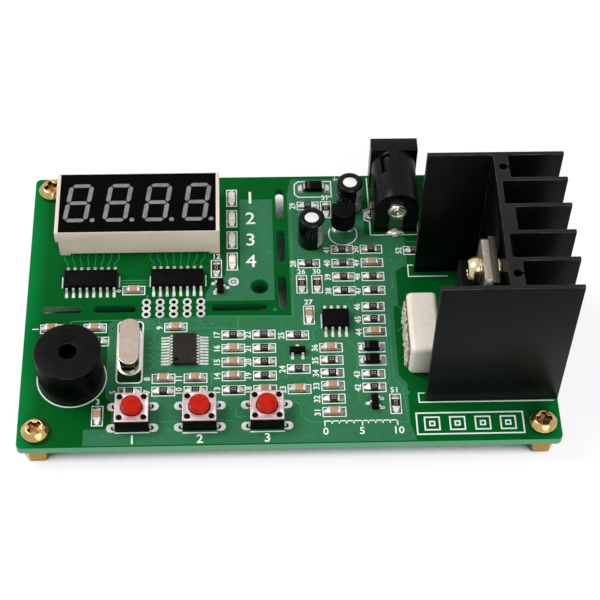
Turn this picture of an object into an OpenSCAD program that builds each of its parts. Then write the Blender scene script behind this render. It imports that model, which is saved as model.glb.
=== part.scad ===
// Bench electronic load on one circuit board: a four digit display, three push switches,
// a control circuit, and a power transistor bolted to an extruded heat sink.
// X runs along the board, Y from its front to its back, Z up from the feet.

/* [Board] */
// Length of the circuit board, left to right
board_length = 97; // [94:0.5:110]
// Width of the circuit board, front to back
board_width = 62; // [61:0.5:72]
// Thickness of the circuit board
board_thickness = 1.6; // [1:0.1:2]
// Corner radius of the circuit board
board_corner = 1; // [0.5:0.1:2]
// Distance of a corner hole from the two board edges
corner_inset = 3.3; // [3:0.1:3.8]
// Diameter of a corner hole
corner_hole = 3.2; // [3:0.1:3.6]
// Width of a break-off slot
slot_width = 1.6; // [1:0.1:2]
// Diameter of the hanging hole in the display section
display_section_hole = 3; // [2:0.1:3.4]
// Diameter of a plated wire hole in the link rows
link_hole = 0.9; // [0.6:0.05:1.1]
// Pitch of the link columns
link_pitch = 2.54; // [2.5:0.01:2.6]
// Pitch of the three holes in one link
link_step = 1.4; // [1.3:0.05:1.6]
// Length of a lead below the board
lead_stub = 1.6; // [0.8:0.1:2.4]
// Clearance around a lead in its hole
lead_clearance = 0.15; // [0.1:0.05:0.25]

/* [Standoffs and screws] */
// Length of a standoff
standoff_length = 4; // [3.5:0.5:12]
// Width of a standoff across its flats
standoff_flats = 5; // [4.5:0.1:6]
// Minor diameter of the standoff thread
thread_bore = 2.5; // [2:0.1:2.7]
// Diameter of the standoff's upper end, which holds the corner screw
screw_bore = 3; // [2.7:0.1:3.1]
// Gap between a screw's thread and its bore
thread_clearance = 0.05; // [0.02:0.01:0.1]
// Diameter of a corner screw's head
screw_head = 5; // [4.5:0.1:5.8]
// Height of a corner screw's head
screw_head_height = 1.9; // [1.4:0.1:2.4]
// Length of a corner screw below its head
screw_length = 2.7; // [2.4:0.1:3.2]
// Width of a cross recess wing
recess_width = 0.9; // [0.4:0.05:1]

/* [Display] */
// Length of the display case
display_length = 30.5; // [29.5:0.1:32]
// Width of the display case, front to back
display_width = 14.5; // [13.5:0.1:15.5]
// Height of the display case above the board
display_height = 6.8; // [6:0.1:8]
// Height of the corner feet under the case
display_foot = 0.5; // [0.3:0.1:0.8]
// Wall of the display case
display_wall = 0.7; // [0.5:0.05:1]
// Thickness of the dark face
face_thickness = 0.4; // [0.2:0.05:0.8]
// Reach of the locating lip on the left side of the case
display_lip = 0.55; // [0.3:0.05:0.8]
// Height of a digit
digit_height = 9.3; // [8:0.05:9.6]
// Width of a digit
digit_width = 4.7; // [4:0.05:5]
// Pitch of the digits
digit_pitch = 7.5; // [7.2:0.05:7.5]
// Width of a segment
segment_width = 0.85; // [0.6:0.05:1]
// Gap between neighbouring segments
segment_gap = 0.16; // [0.1:0.02:0.3]
// Slant of the digits in degrees
digit_slant = 7; // [0:1:10]
// Diameter of a display pin
display_pin = 0.5; // [0.4:0.05:0.6]

/* [Integrated circuits] */
// Length of a shift register body
register_length = 9.9; // [9.6:0.1:10.2]
// Width of a small outline body
register_width = 3.9; // [3.6:0.1:4.2]
// Height of a small outline body
register_height = 1.45; // [1.2:0.05:1.7]
// Lead pitch of the small outline bodies
register_pitch = 1.27; // [1.2:0.01:1.3]
// Length of the amplifier body
op_amp_length = 4.9; // [4.5:0.1:5.2]
// Length of the controller body
controller_length = 6.5; // [6.3:0.1:7]
// Width of the controller body
controller_width = 4.4; // [4:0.1:5]
// Lead pitch of the controller
controller_pitch = 0.65; // [0.6:0.01:0.68]
// Gap under a moulded body
body_lift = 0.15; // [0.05:0.05:0.2]

/* [Chips] */
// Length of a chip, ends included
chip_length = 2.2; // [1.8:0.05:2.4]
// Width of a chip
chip_width = 1.3; // [1:0.05:1.5]
// Height of a chip resistor
chip_resistor_height = 0.55; // [0.4:0.05:0.7]
// Height of a chip capacitor
chip_capacitor_height = 0.95; // [0.7:0.05:1.2]
// Length of a chip's metal end
chip_end = 0.4; // [0.2:0.05:0.5]
// Height of an indicator's base
indicator_base = 0.4; // [0.3:0.05:0.6]
// Height of an indicator's lens
indicator_lens = 0.5; // [0.3:0.05:0.8]

/* [Crystal and buzzer] */
// Length of the crystal can
crystal_length = 10.1; // [9.5:0.1:10.6]
// Width of the crystal can
crystal_width = 3.6; // [3.2:0.1:4]
// Height of the crystal above the board
crystal_height = 3.5; // [3:0.1:4.2]
// Rim of the crystal base around the can
crystal_rim = 0.45; // [0.3:0.05:0.6]
// Diameter of the buzzer
buzzer_diameter = 12; // [11.5:0.1:12.6]
// Height of the buzzer
buzzer_height = 8.7; // [7.5:0.1:10]
// Wall of the buzzer case
buzzer_wall = 0.8; // [0.6:0.05:1]
// Diameter of the sound hole
buzzer_hole = 3.2; // [2:0.1:4]

/* [Push switches] */
// Side of a switch body
switch_side = 6; // [5.8:0.1:6.4]
// Height of a switch body with its cover
switch_height = 3.5; // [3.2:0.1:4.2]
// Thickness of the metal cover
switch_cover_thickness = 0.3; // [0.2:0.05:0.4]
// Diameter of a button
button_diameter = 3.6; // [3:0.1:3.7]
// Height of a button's top above the cover
button_rise = 1.2; // [0.8:0.1:6]
// Travel of a button
button_travel = 0.25; // [0.15:0.05:0.3]
// Clearance around a button
button_clearance = 0.2; // [0.15:0.05:0.3]
// Distance between the rivets of one switch
rivet_spacing = 4.3; // [4.1:0.1:4.5]
// Pitch of the switches along the board
switch_pitch = 12; // [11.6:0.1:12.2]

/* [Power jack] */
// Width of the jack flange
jack_width = 9; // [8.8:0.1:9.2]
// Height of the jack
jack_height = 11; // [10.8:0.1:11.6]
// Length of the jack along the board
jack_length = 14.3; // [13.5:0.1:14.6]
// Thickness of the jack flange
jack_flange = 3.1; // [2:0.1:3.5]
// Radius of the jack barrel
jack_barrel = 4.2; // [4:0.05:4.3]
// Diameter of the plug socket
jack_socket = 6.3; // [5.8:0.1:6.4]
// Depth of the plug socket
jack_depth = 9.5; // [9:0.1:10]
// Diameter of the centre pin
jack_pin = 2; // [1.6:0.1:2.5]

/* [Capacitors and regulator] */
// Diameter of a can capacitor
capacitor_diameter = 5; // [4.5:0.1:5.4]
// Height of a can capacitor
capacitor_height = 7.3; // [6:0.1:9]
// Thickness of its plastic sleeve
sleeve_thickness = 0.15; // [0.1:0.05:0.25]
// Width of the sleeve's lip over the top of the can
sleeve_lip = 0.75; // [0.4:0.05:1]
// Width of the regulator body
regulator_width = 4.7; // [4.4:0.1:5]
// Depth of the regulator body
regulator_depth = 3.4; // [3.2:0.1:3.8]
// Height of the regulator body
regulator_body_height = 4.5; // [4:0.1:5]
// Height of the regulator body above the board
regulator_lift = 2.2; // [1.5:0.1:3]

/* [Heat sink and power transistor] */
// Depth of the heat sink along the board
sink_depth = 24; // [23:0.5:26]
// Width of the heat sink, front to back
sink_width = 30; // [29:0.2:31]
// Height of the heat sink
sink_height = 33.5; // [31:0.5:45]
// Distance of the heat sink from the front edge of the board
sink_front = 8.5; // [7.5:0.1:9]
// Depth of the transistor channel
sink_channel = 11.5; // [11:0.1:12]
// Thickness of a fin
fin_thickness = 0.8; // [0.6:0.05:1.2]
// Number of fins with the two end walls
fin_count = 6; // [6:1:6]
// Thickness of the thin base web
web_thickness = 1; // [0.8:0.1:1.6]
// Thickness of the base pads
pad_thickness = 2.6; // [2.4:0.1:3.4]
// Radius of a heat sink solder pin
sink_pin = 0.75; // [0.5:0.05:0.8]
// Length of a solder pin inside the heat sink
sink_pin_grip = 8; // [5:0.5:12]
// Width of the power transistor
transistor_width = 10; // [9.6:0.1:10.4]
// Height of the power transistor with its tab
transistor_height = 15.5; // [15:0.1:16]
// Height of its moulded body
transistor_body = 9; // [8.6:0.1:9.4]
// Thickness of its metal tab
tab_thickness = 1.3; // [1.1:0.05:1.4]
// Height of the tab's top above the board
tab_top = 29.8; // [27:0.1:30.5]
// Thickness of the spreader plate
spreader_thickness = 1.2; // [0.8:0.1:1.3]
// Height of the brass spacer behind the spreader plate
spacer_thickness = 0.8; // [0.5:0.1:1]
// Height of the spreader's seat on the heat sink
spreader_seat = 10; // [6:0.5:10.5]
// Diameter of the transistor screw's head
tab_screw_head = 4.4; // [4:0.1:5]
// Diameter of the transistor screw's thread
tab_screw = 2.4; // [2:0.1:2.6]

/* [Sense resistor] */
// Length of the sense resistor, front to back
sense_length = 13.2; // [12:0.1:14]
// Thickness of the sense resistor
sense_thickness = 5.6; // [5:0.1:6]
// Height of the sense resistor
sense_height = 8; // [7:0.1:10]
// Rounding of the sense resistor
sense_round = 1; // [0.6:0.1:1.4]
// Spacing of its leads
sense_lead_spacing = 9; // [7:0.5:10]

/* [Load terminals] */
// Pitch of the two load terminals
terminal_pitch = 5.08; // [5:0.01:5.2]
// Depth of the terminal block
terminal_depth = 8; // [7.6:0.1:9]
// Height of the terminal block
terminal_height = 10; // [9.8:0.1:12]
// Side of a clamp cage
cage_side = 3.4; // [3.2:0.1:3.5]
// Height of a clamp cage
cage_height = 4.6; // [4.4:0.1:4.8]
// Wall of a clamp cage
cage_wall = 0.5; // [0.4:0.05:0.6]
// Travel of a clamp cage
cage_travel = 1.2; // [0.8:0.1:1.2]
// Clearance around a clamp cage
cage_clearance = 0.2; // [0.15:0.05:0.25]
// Diameter of a clamp screw's head
clamp_head = 3.8; // [3.4:0.1:3.9]
// Diameter of a clamp screw's thread
clamp_thread = 2.4; // [2:0.1:2.5]

/* [Hidden] */
$fn = 48;

board_top = standoff_length + board_thickness;
lead_bottom = -board_thickness - lead_stub;
touch = 0.01;

// The wider end of a standoff's bore reaches a little below the corner screw's end
screw_bore_floor = board_top - screw_length - 0.3;

// Places on the board, measured from its front left corner. They were drawn on a board
// of this size, and spread with the board when its length or width changes
drawn_board = [97, 62];
function place(x, y) = [x * board_length / drawn_board.x, y * board_width / drawn_board.y];
function turned_place(p) = [place(p.x, p.y).x, place(p.x, p.y).y, p.z];

register_centers = [place(11.8, 36.4), place(28.1, 36.4)];
controller_center = place(29.6, 20.3);
op_amp_center = place(57.6, 26.5);
crystal_center = place(19.6, 20.3);
buzzer_center = place(9.2, 14.7);
first_switch = place(20.4, 6.1);
capacitor_centers = [place(61.4, 54.3), place(53.7, 45.7)];
regulator_center = place(59.95, 48.4);
power_diode_center = place(54.7, 58.8);
signal_diode_centers = [place(64, 17.5), place(64, 20.4)];
small_transistor_places = [
    for (p = [[50.3, 19.7, 0], [63.9, 8.2, 90], [36.2, 34.7, -90]]) turned_place(p)
];
jack_contact_sheet = 0.3;
jack_x = place(70.1, 0).x;
jack_axis_z = jack_height - jack_barrel;
jack_rear = board_width - jack_length;
terminal_inset = [13, 7.5];
terminal_center = [board_length - terminal_inset.x, board_width - terminal_inset.y];

// The display's back left corner clears the head of the corner screw beside it
display_corner_gap = 0.14;
display_corner_angle = 27;
display_reach = screw_head / 2 + display_corner_gap;
display_left = corner_inset + display_reach * cos(display_corner_angle);
display_back = board_width - corner_inset - display_reach * sin(display_corner_angle);
display_center = [display_left + display_length / 2, display_back - display_width / 2];

// The indicators stand in one column at the right end of the display
indicator_gap = 2.35;
indicator_x = display_left + display_length + indicator_gap;
indicator_rows = [for (y = [40.9, 46.1, 51.4, 56.6]) place(0, y).y];

// Break-off slots and the rows of wire links that join the two board sections
slot_x = place(47.9, 0).x;
slot_y = place(0, 30.1).y;
upright_slots = [for (s = [[30.2, 36.6], [41.6, 47.6], [52.2, 58]]) [place(0, s[0]).y, place(0, s[1]).y]];
level_slots = [for (s = [[3.8, 9.6], [13.2, 19.7], [35.3, 44.2]]) [place(s[0], 0).x, place(s[1], 0).x]];
first_link_x = place(22.35, 0).x;
link_columns = 5;
section_hole_place = place(43.6, 34.8);

corner_points = [
    for (x = [corner_inset, board_length - corner_inset], y = [corner_inset, board_width - corner_inset])
        [x, y]
];
corner_recess_turns = [45, 20, 0, 70];

// Chip columns: rows of the two left columns share one grid
grid_first = 11.5;
grid_pitch = 3.05;
side_first = 6.5;
side_pitch = 2.8;
rear_first = 33.5;
rear_pitch = 3.3;
function grid_row(i) = grid_first + grid_pitch * i;
function side_row(i) = side_first + side_pitch * i;
function rear_row(i) = rear_first + rear_pitch * i;

drawn_resistors = concat(
    [for (i = [0, 4]) [38.5, grid_row(i), 0]],
    [for (i = [1 : 4]) [44.2, grid_row(i), 0]],
    [for (i = [1, 3, 4]) [56.5, side_row(i), 0]],
    [for (i = [0 : 3]) [59.6, rear_row(i), 0]],
    [for (i = [0, 1, 3]) [65.2, rear_row(i), 0]],
    [for (x = [19.7, 25.8, 31.6]) [x, grid_row(0), 0]],
    [for (y = [11.6, 14.5]) [64, y, 0]],
    [for (y = [26.8, 29.7]) [64.8, y, 0]],
    [[50.4, 15.9, 0], [50.4, 23.4, 0], [53.1, 40.1, 0], [53.4, 54.4, 0]],
    [[13.5, 22.7, 0], [51.6, 35.2, 90], [54.5, 35.2, 90], [67.6, 8, 90]],
    [[56.9, 53.4, 90]]
);
drawn_ceramics = concat(
    [for (i = [1 : 3]) [38.5, grid_row(i), 0]],
    [[44.2, grid_row(0), 0], [50.4, grid_row(0), 0]],
    [for (i = [0, 2, 5]) [56.5, side_row(i), 0]],
    [for (x = [25.8, 31.6]) [x, grid_row(1) - 0.3, 0]],
    [[65.2, rear_row(2), 0], [64.8, 23.9, 0], [27.9, 25.6, 0], [19.9, 34.3, 0]],
    [[13, 25.7, 0], [5, 25.7, 0], [52.7, 28, 90], [14.1, 6.5, 90]]
);

// One more resistor stands midway between the heat sink and the rear blade of the jack
sink_resistor = [
    board_length - sink_depth + 0.5,
    (sink_front + sink_width + jack_rear - jack_contact_sheet) / 2,
    0
];
// And one between the second register and the column of indicators
indicator_resistor = [
    (register_centers[1].x + register_length / 2 + indicator_x - chip_width / 2) / 2,
    place(0, 39.2).y,
    90
];
resistor_places = concat([for (p = drawn_resistors) turned_place(p)], [sink_resistor, indicator_resistor]);
ceramic_places = [for (p = drawn_ceramics) turned_place(p)];

// Display
case_bottom = display_foot;
face_bottom = display_height - face_thickness;
well_depth = 3;
display_board_thickness = 0.8;
display_pin_spacing = 10.16;
display_pin_pitch = 2.54;
display_pin_points = [
    for (i = [0 : 5], side = [-1, 1])
        [display_center.x + (i - 2.5) * display_pin_pitch, display_center.y + side * display_pin_spacing / 2]
];
face_rim = 0.12;
face_end = 0.63;
face_size = [display_length - face_rim - face_end, display_width - 2 * face_rim];
face_shift = (face_rim - face_end) / 2;
drawn_display = 30.5;
digit_spread = display_length / drawn_display;
digit_centers = [for (i = [0 : 3]) (i - 1.5) * digit_pitch * digit_spread - display_lip / 2];
point_diameter = segment_width + 0.1;
point_gap = 0.5;

// Moulded bodies
body_draft = 0.12;
lead_sheet = 0.22;
register_lead = 0.42;
register_reach = 1.05;
controller_lead = 0.25;
controller_height = 1;
controller_reach = 1;
small_body = [2.9, 1.3, 1];
small_lead = 0.42;
small_reach = 0.6;
power_diode_body = [1.9, 3.4, 1.2];
power_diode_lead = 1.3;
power_diode_reach = 0.9;
signal_diode_body = [1.6, 2.6, 1.1];
signal_diode_lead = 0.9;
signal_diode_reach = 0.55;

// Crystal
crystal_base_top = 0.5;
crystal_shell = 0.2;
crystal_lead_spacing = 4.88;
crystal_lead = 0.43;
crystal_lead_points = [
    for (side = [-1, 1]) [crystal_center.x, crystal_center.y + side * crystal_lead_spacing / 2]
];

// Buzzer
buzzer_ledge = 0.5;
buzzer_base_thickness = 1.2;
buzzer_top = 1;
diaphragm_thickness = 0.1;
diaphragm_z = buzzer_height - buzzer_top - 1.8;
buzzer_core = 1.2;
buzzer_coil_radius = 2.6;
buzzer_magnet_radius = buzzer_diameter / 2 - buzzer_wall - buzzer_ledge;
buzzer_lead_spacing = 6.5;
buzzer_lead = 0.6;
buzzer_lead_points = [
    for (side = [-1, 1]) [buzzer_center.x + side * buzzer_lead_spacing / 2, buzzer_center.y]
];

// Switches
switch_centers = [for (i = [0 : 2]) [first_switch.x + i * switch_pitch, first_switch.y]];
cover_bottom = switch_height - switch_cover_thickness;
switch_floor = 0.9;
switch_well = 2.45;
button_flange_height = 0.6;
button_flange = switch_well - 0.25;
button_nub = 0.3;
button_nub_radius = 0.8;
button_rest_gap = 0.03;
button_bottom = cover_bottom - button_rest_gap - button_flange_height - button_nub;
dome_crown = button_bottom - button_travel - 0.05;
dome_sheet = 0.1;
rivet_radius = 0.5;
rivet_rise = 0.12;
rivet_clearance = 0.05;
switch_lead_sheet = 0.3;
switch_lead_width = 0.7;
switch_lead_row = 2.25;
switch_lead_x = switch_side / 2 + 0.4;
switch_lead_points = [
    for (c = switch_centers, x = [-1, 1], y = [-1, 1])
        [c.x + x * (switch_lead_x - switch_lead_sheet / 2), c.y + y * switch_lead_row]
];

// Jack
jack_blade = 2.6;
jack_tail = 1.8;
jack_rivet = 1.8;
jack_rivet_height = 0.4;
jack_spring_y = board_width - 8.2;
jack_side_y = board_width - 10;
jack_socket_bottom = jack_axis_z - jack_socket / 2;
jack_rear_blade_y = jack_rear - jack_contact_sheet;
jack_slot_points = [
    [jack_x, jack_rear - jack_contact_sheet / 2],
    [jack_x, jack_spring_y],
    [jack_x - jack_width / 2 - jack_contact_sheet / 2, jack_side_y]
];

// Capacitors and regulator
capacitor_lift = 0.3;
can_edge = 0.25;
sleeve_edge = 0.3;
capacitor_lead_spacing = 2;
capacitor_lead = 0.5;
capacitor_lead_points = [
    for (c = capacitor_centers, side = [-1, 1]) [c.x + side * capacitor_lead_spacing / 2, c.y]
];
regulator_lead_pitch = 1.27;
regulator_lead = 0.45;
regulator_lead_points = [
    for (i = [-1 : 1]) [regulator_center.x + i * regulator_lead_pitch, regulator_center.y]
];

// Heat sink, placed against the right edge of the board
sink_left = board_length - sink_depth;
sink_face = sink_left + sink_channel;
fin_pitch = (sink_width - fin_thickness) / (fin_count - 1);
fin_gap = fin_pitch - fin_thickness;
sink_pin_inset = 1.5;
sink_pin_points = [
    for (i = [0, fin_count - 2]) [sink_face + sink_pin_inset, fin_y(i) + fin_thickness + fin_gap / 2]
];
function fin_y(i) = sink_front + i * fin_pitch;

// Power transistor, centred on a gap between two fins so that its nut clears them
stack_y = fin_y(1) + fin_thickness + fin_gap / 2;
spacer_left = sink_face - spacer_thickness;
spreader_left = spacer_left - spreader_thickness;
tab_left = spreader_left - tab_thickness;
tab_bottom = tab_top - transistor_height;
tab_hole_drop = 2.8;
tab_hole_clearance = 0.15;
tab_screw_z = tab_top - tab_hole_drop;
moulding_depth = 3.1;
side_draft = 0.2;
tab_bore = tab_screw + 2 * tab_hole_clearance;
power_lead_pitch = 2.54;
power_lead_width = 0.8;
power_lead_sheet = 0.5;
power_lead_x = tab_left - 2;
power_lead_points = [for (i = [-1 : 1]) [power_lead_x, stack_y + i * power_lead_pitch]];
spring_washer = 0.5;
tab_head_height = 1.9;
tab_nut_flats = 4.5;
tab_nut_height = 1.8;
spacer_radius = 2;

// Sense resistor at the mouth of the channel
sense_center = [sink_left + 0.1, sink_front + 12.3];
sense_lead = 0.8;
sense_lead_points = [for (side = [-1, 1]) [sense_center.x, sense_center.y + side * sense_lead_spacing / 2]];

// Load terminals, with wire mouths on the back
terminal_length = 2 * terminal_pitch;
terminal_centers = [for (side = [-1, 1]) terminal_center.x + side * terminal_pitch / 2];
cage_bottom = 0.7;
cage_floor = 1;
cage_roof = 1;
cage_y = terminal_center.y - 0.2;
cage_well_bottom = 0.5;
cage_well_top = cage_bottom + cage_height + cage_travel + 0.2;
clamp_neck = 0.8;
clamp_head_bottom = cage_well_top + clamp_neck;
clamp_head_height = 1.6;
clamp_head_clearance = 0.15;
contact_bar = 0.4;
contact_bar_z = cage_bottom + cage_floor + cage_travel + 0.5;
contact_width = cage_side - 2 * cage_wall - 0.4;
contact_y = cage_y - cage_side / 2 - 0.7;
clamp_tip = contact_bar_z + contact_bar + 0.15;
terminal_lead = 1;
wire_mouth = cage_side - 0.4;
terminal_lead_points = [for (x = terminal_centers) [x, contact_y + contact_bar / 2]];

// Everything on the board is placed from its front left corner and its top face
module on_board() {
    translate([-board_length / 2, -board_width / 2, board_top]) children();
}

module at(p, z = 0) {
    translate([p.x, p.y, z]) children();
}

// A block centred in X and Y that stands on z
module block(size, z = 0) {
    translate([-size.x / 2, -size.y / 2, z]) cube(size);
}

module round_lead(p, top, diameter) {
    at(p, lead_bottom) cylinder(d = diameter, h = top - lead_bottom);
}

module drill(points, diameter) {
    for (p = points)
        at(p, -board_thickness - 1) cylinder(d = diameter, h = board_thickness + 2);
}

module lead_drill(points, size) {
    drill(points, size + 2 * lead_clearance);
}

module slot(start, end) {
    reach = norm(end - start);
    translate([start.x, start.y, -board_thickness - 1])
        rotate(atan2(end.y - start.y, end.x - start.x)) {
            translate([0, -slot_width / 2, 0]) cube([reach, slot_width, board_thickness + 2]);
            cylinder(d = slot_width, h = board_thickness + 2);
            translate([reach, 0, 0]) cylinder(d = slot_width, h = board_thickness + 2);
        }
}

// A plate with round ends along Y, centred in X and Y
module oblong(width, length, height) {
    block([width, length - width, height]);
    for (side = [-1, 1])
        translate([0, side * (length - width) / 2, 0]) cylinder(d = width, h = height);
}

module circuit_board() {
    color("seagreen")
    difference() {
        translate([0, 0, standoff_length]) {
            block([board_length, board_width - 2 * board_corner, board_thickness]);
            block([board_length - 2 * board_corner, board_width, board_thickness]);
            for (x = [-1, 1], y = [-1, 1])
                translate([x * (board_length / 2 - board_corner), y * (board_width / 2 - board_corner), 0])
                    cylinder(r = board_corner, h = board_thickness);
        }
        on_board() {
            drill(corner_points, corner_hole);
            drill([section_hole_place], display_section_hole);
            for (s = upright_slots) slot([slot_x, s[0]], [slot_x, s[1]]);
            for (s = level_slots) slot([s[0], slot_y], [s[1], slot_y]);
            for (i = [0 : link_columns - 1], j = [-1 : 1])
                drill([[first_link_x + i * link_pitch, slot_y + j * link_step]], link_hole);
            lead_drill(display_pin_points, display_pin);
            lead_drill(crystal_lead_points, crystal_lead);
            lead_drill(buzzer_lead_points, buzzer_lead);
            lead_drill(switch_lead_points, norm([switch_lead_sheet, switch_lead_width]));
            lead_drill(jack_slot_points, norm([jack_contact_sheet, jack_tail]));
            lead_drill(capacitor_lead_points, capacitor_lead);
            lead_drill(regulator_lead_points, regulator_lead);
            lead_drill(sink_pin_points, 2 * sink_pin);
            lead_drill(power_lead_points, norm([power_lead_width, power_lead_sheet]));
            lead_drill(sense_lead_points, sense_lead);
            lead_drill(terminal_lead_points, norm([terminal_lead, contact_bar]));
        }
    }
}

module standoffs() {
    color("goldenrod")
    for (p = corner_points)
        translate([p.x - board_length / 2, p.y - board_width / 2, 0])
            difference() {
                cylinder(d = standoff_flats / cos(30), h = standoff_length, $fn = 6);
                translate([0, 0, -1]) cylinder(d = thread_bore, h = standoff_length + 2);
                translate([0, 0, screw_bore_floor]) cylinder(d = screw_bore, h = standoff_length);
            }
}

// A pan head with a cross recess, its seat at z = 0
module pan_head(diameter, height, recess_turn = 45) {
    edge = 0.45 * height;
    crown = 0.62 * diameter / 2;
    difference() {
        rotate_extrude()
            polygon([[0, 0], [diameter / 2, 0], [diameter / 2, edge], [crown + 0.25, height - 0.15],
                     [crown, height], [0, height]]);
        for (turn = [0, 90])
            rotate(recess_turn + turn) block([crown * 1.8, recess_width, height], 0.4 * height);
        translate([0, 0, 0.3 * height]) cylinder(r = recess_width, h = height);
    }
}

module corner_screws() {
    color("gold")
    on_board() for (i = [0 : len(corner_points) - 1])
        at(corner_points[i]) {
            pan_head(screw_head, screw_head_height, corner_recess_turns[i]);
            translate([0, 0, -screw_length])
                cylinder(d = screw_bore - 2 * thread_clearance, h = screw_length + touch);
        }
}

// One segment: a bar with pointed ends, centred, along X or along Y
function bar(length, along_x) =
    let (l = length / 2, w = segment_width / 2)
    along_x
        ? [[-l, 0], [-l + w, -w], [l - w, -w], [l, 0], [l - w, w], [-l + w, w]]
        : [[0, -l], [w, -l + w], [w, l - w], [0, l], [-w, l - w], [-w, -l + w]];

function placed(points, x, y) = [for (p = points) [p.x + x + (p.y + y) * tan(digit_slant), p.y + y]];

digit_column = (digit_width - segment_width) / 2;
digit_row = (digit_height - segment_width) / 2;
level_bar = digit_width - segment_width - 2 * segment_gap;
upright_bar = digit_row - 2 * segment_gap;

module digit_shapes(x) {
    translate([x, 0]) {
        for (row = [-1 : 1]) polygon(placed(bar(level_bar, true), 0, row * digit_row));
        for (column = [-1, 1], half = [-1, 1])
            polygon(placed(bar(upright_bar, false), column * digit_column, half * digit_row / 2));
        translate([digit_column + segment_width + point_gap - digit_row * tan(digit_slant), -digit_row])
            circle(d = point_diameter, $fn = 24);
    }
}

module segment_prisms(bottom, height) {
    on_board() at(display_center, bottom)
        for (x = digit_centers)
            linear_extrude(height) digit_shapes(x);
}

module display_case() {
    inner = [display_length - 2 * display_wall, display_width - 2 * display_wall];
    color("whitesmoke")
    difference() {
        on_board() at(display_center) {
            block([display_length, display_width, display_height - case_bottom], case_bottom);
            for (x = [-1, 1], y = [-1, 1])
                translate([x * (display_length / 2 - 1), y * (display_width / 2 - 0.6), 0])
                    block([2, 1.2, case_bottom + touch]);
            translate([-display_length / 2 - display_lip / 2, 0, 0])
                block([display_lip + touch, display_width, display_height * 0.4], display_height * 0.6);
        }
        on_board() at(display_center) {
            translate([face_shift, 0, 0]) block([face_size.x, face_size.y, face_thickness + 1], face_bottom);
            block([inner.x, inner.y, face_bottom - well_depth - case_bottom + 1], case_bottom - 1);
        }
        segment_prisms(face_bottom - well_depth - 0.5, well_depth + 1);
    }
}

module display_face() {
    color("black")
    difference() {
        on_board() at(display_center)
            translate([face_shift, 0, 0]) block([face_size.x, face_size.y, face_thickness], face_bottom);
        segment_prisms(face_bottom - 0.5, face_thickness + 1);
    }
}

module display_segments() {
    color("lightgray")
    segment_prisms(face_bottom - well_depth, well_depth + face_thickness);
}

module display_board() {
    color("darkgreen")
    on_board() at(display_center)
        block([display_length - 2 * display_wall, display_width - 2 * display_wall, display_board_thickness],
              face_bottom - well_depth - display_board_thickness);
}

module display_pins() {
    color("silver")
    on_board() for (p = display_pin_points)
        round_lead(p, face_bottom - well_depth - display_board_thickness, display_pin);
}

// Moulded body with drafted sides: length along X, leads on its two Y sides
module moulded_body(length, width, height, lift = body_lift) {
    middle = lift + height / 2;
    band = lead_sheet / 2;
    rotate([90, 0, 90])
        linear_extrude(length, center = true)
            polygon([
                [-width / 2 + body_draft, lift], [-width / 2, middle - band], [-width / 2, middle + band],
                [-width / 2 + body_draft, lift + height], [width / 2 - body_draft, lift + height],
                [width / 2, middle + band], [width / 2, middle - band], [width / 2 - body_draft, lift]
            ]);
}

// Gull wing lead that leaves a moulded body's side at Y = 0 and runs to Y = reach
module gull_lead(width, reach, height, lift = body_lift) {
    middle = lift + height / 2;
    sheet = lead_sheet;
    foot = 0.5 * reach;
    knee = 0.2 * reach;
    rotate([90, 0, 90])
        linear_extrude(width, center = true)
            polygon([
                [0, middle - sheet / 2], [knee, middle - sheet / 2], [reach - foot, 0], [reach, 0],
                [reach, sheet], [reach - foot + 0.6 * sheet, sheet],
                [knee + 0.6 * sheet, middle + sheet / 2], [0, middle + sheet / 2]
            ]);
}

module lead_rows(count, pitch, body_width, width, reach, height) {
    for (i = [0 : count - 1], side = [0, 180])
        rotate(side)
            translate([(i - (count - 1) / 2) * pitch, body_width / 2, 0])
                gull_lead(width, reach, height);
}

// Small dot that marks the first lead
module first_lead_mark(length, width, height) {
    translate([-length / 2 + 0.8, -width / 2 + 0.9, body_lift + height - 0.08]) cylinder(r = 0.35, h = 1);
}

module shift_register_bodies() {
    color("dimgray")
    on_board() for (c = register_centers)
        at(c) difference() {
            moulded_body(register_length, register_width, register_height);
            first_lead_mark(register_length, register_width, register_height);
        }
}

module controller_body() {
    color("dimgray")
    on_board() at(controller_center) rotate(90)
        difference() {
            moulded_body(controller_length, controller_width, controller_height);
            first_lead_mark(controller_length, controller_width, controller_height);
        }
}

module op_amp_body() {
    color("dimgray")
    on_board() at(op_amp_center)
        difference() {
            moulded_body(op_amp_length, register_width, register_height);
            first_lead_mark(op_amp_length, register_width, register_height);
        }
}

module ic_leads() {
    color("silver")
    on_board() {
        for (c = register_centers)
            at(c)
                lead_rows(8, register_pitch, register_width, register_lead, register_reach, register_height);
        at(controller_center) rotate(90)
            lead_rows(10, controller_pitch, controller_width, controller_lead, controller_reach,
                      controller_height);
        at(op_amp_center)
            lead_rows(4, register_pitch, register_width, register_lead, register_reach, register_height);
    }
}

module transistor_bodies() {
    color("dimgray")
    on_board() for (p = small_transistor_places)
        at(p) rotate(p.z) moulded_body(small_body.x, small_body.y, small_body.z);
}

module transistor_leads() {
    color("silver")
    on_board() for (p = small_transistor_places)
        at(p) rotate(p.z) {
            for (x = [-0.95, 0.95])
                rotate(180) translate([x, small_body.y / 2, 0])
                    gull_lead(small_lead, small_reach, small_body.z);
            translate([0, small_body.y / 2, 0]) gull_lead(small_lead, small_reach, small_body.z);
        }
}

module diode_bodies() {
    color("dimgray")
    on_board() {
        at(power_diode_center) rotate(90)
            moulded_body(power_diode_body.x, power_diode_body.y, power_diode_body.z);
        for (c = signal_diode_centers)
            at(c) rotate(90) moulded_body(signal_diode_body.x, signal_diode_body.y, signal_diode_body.z);
    }
}

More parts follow.
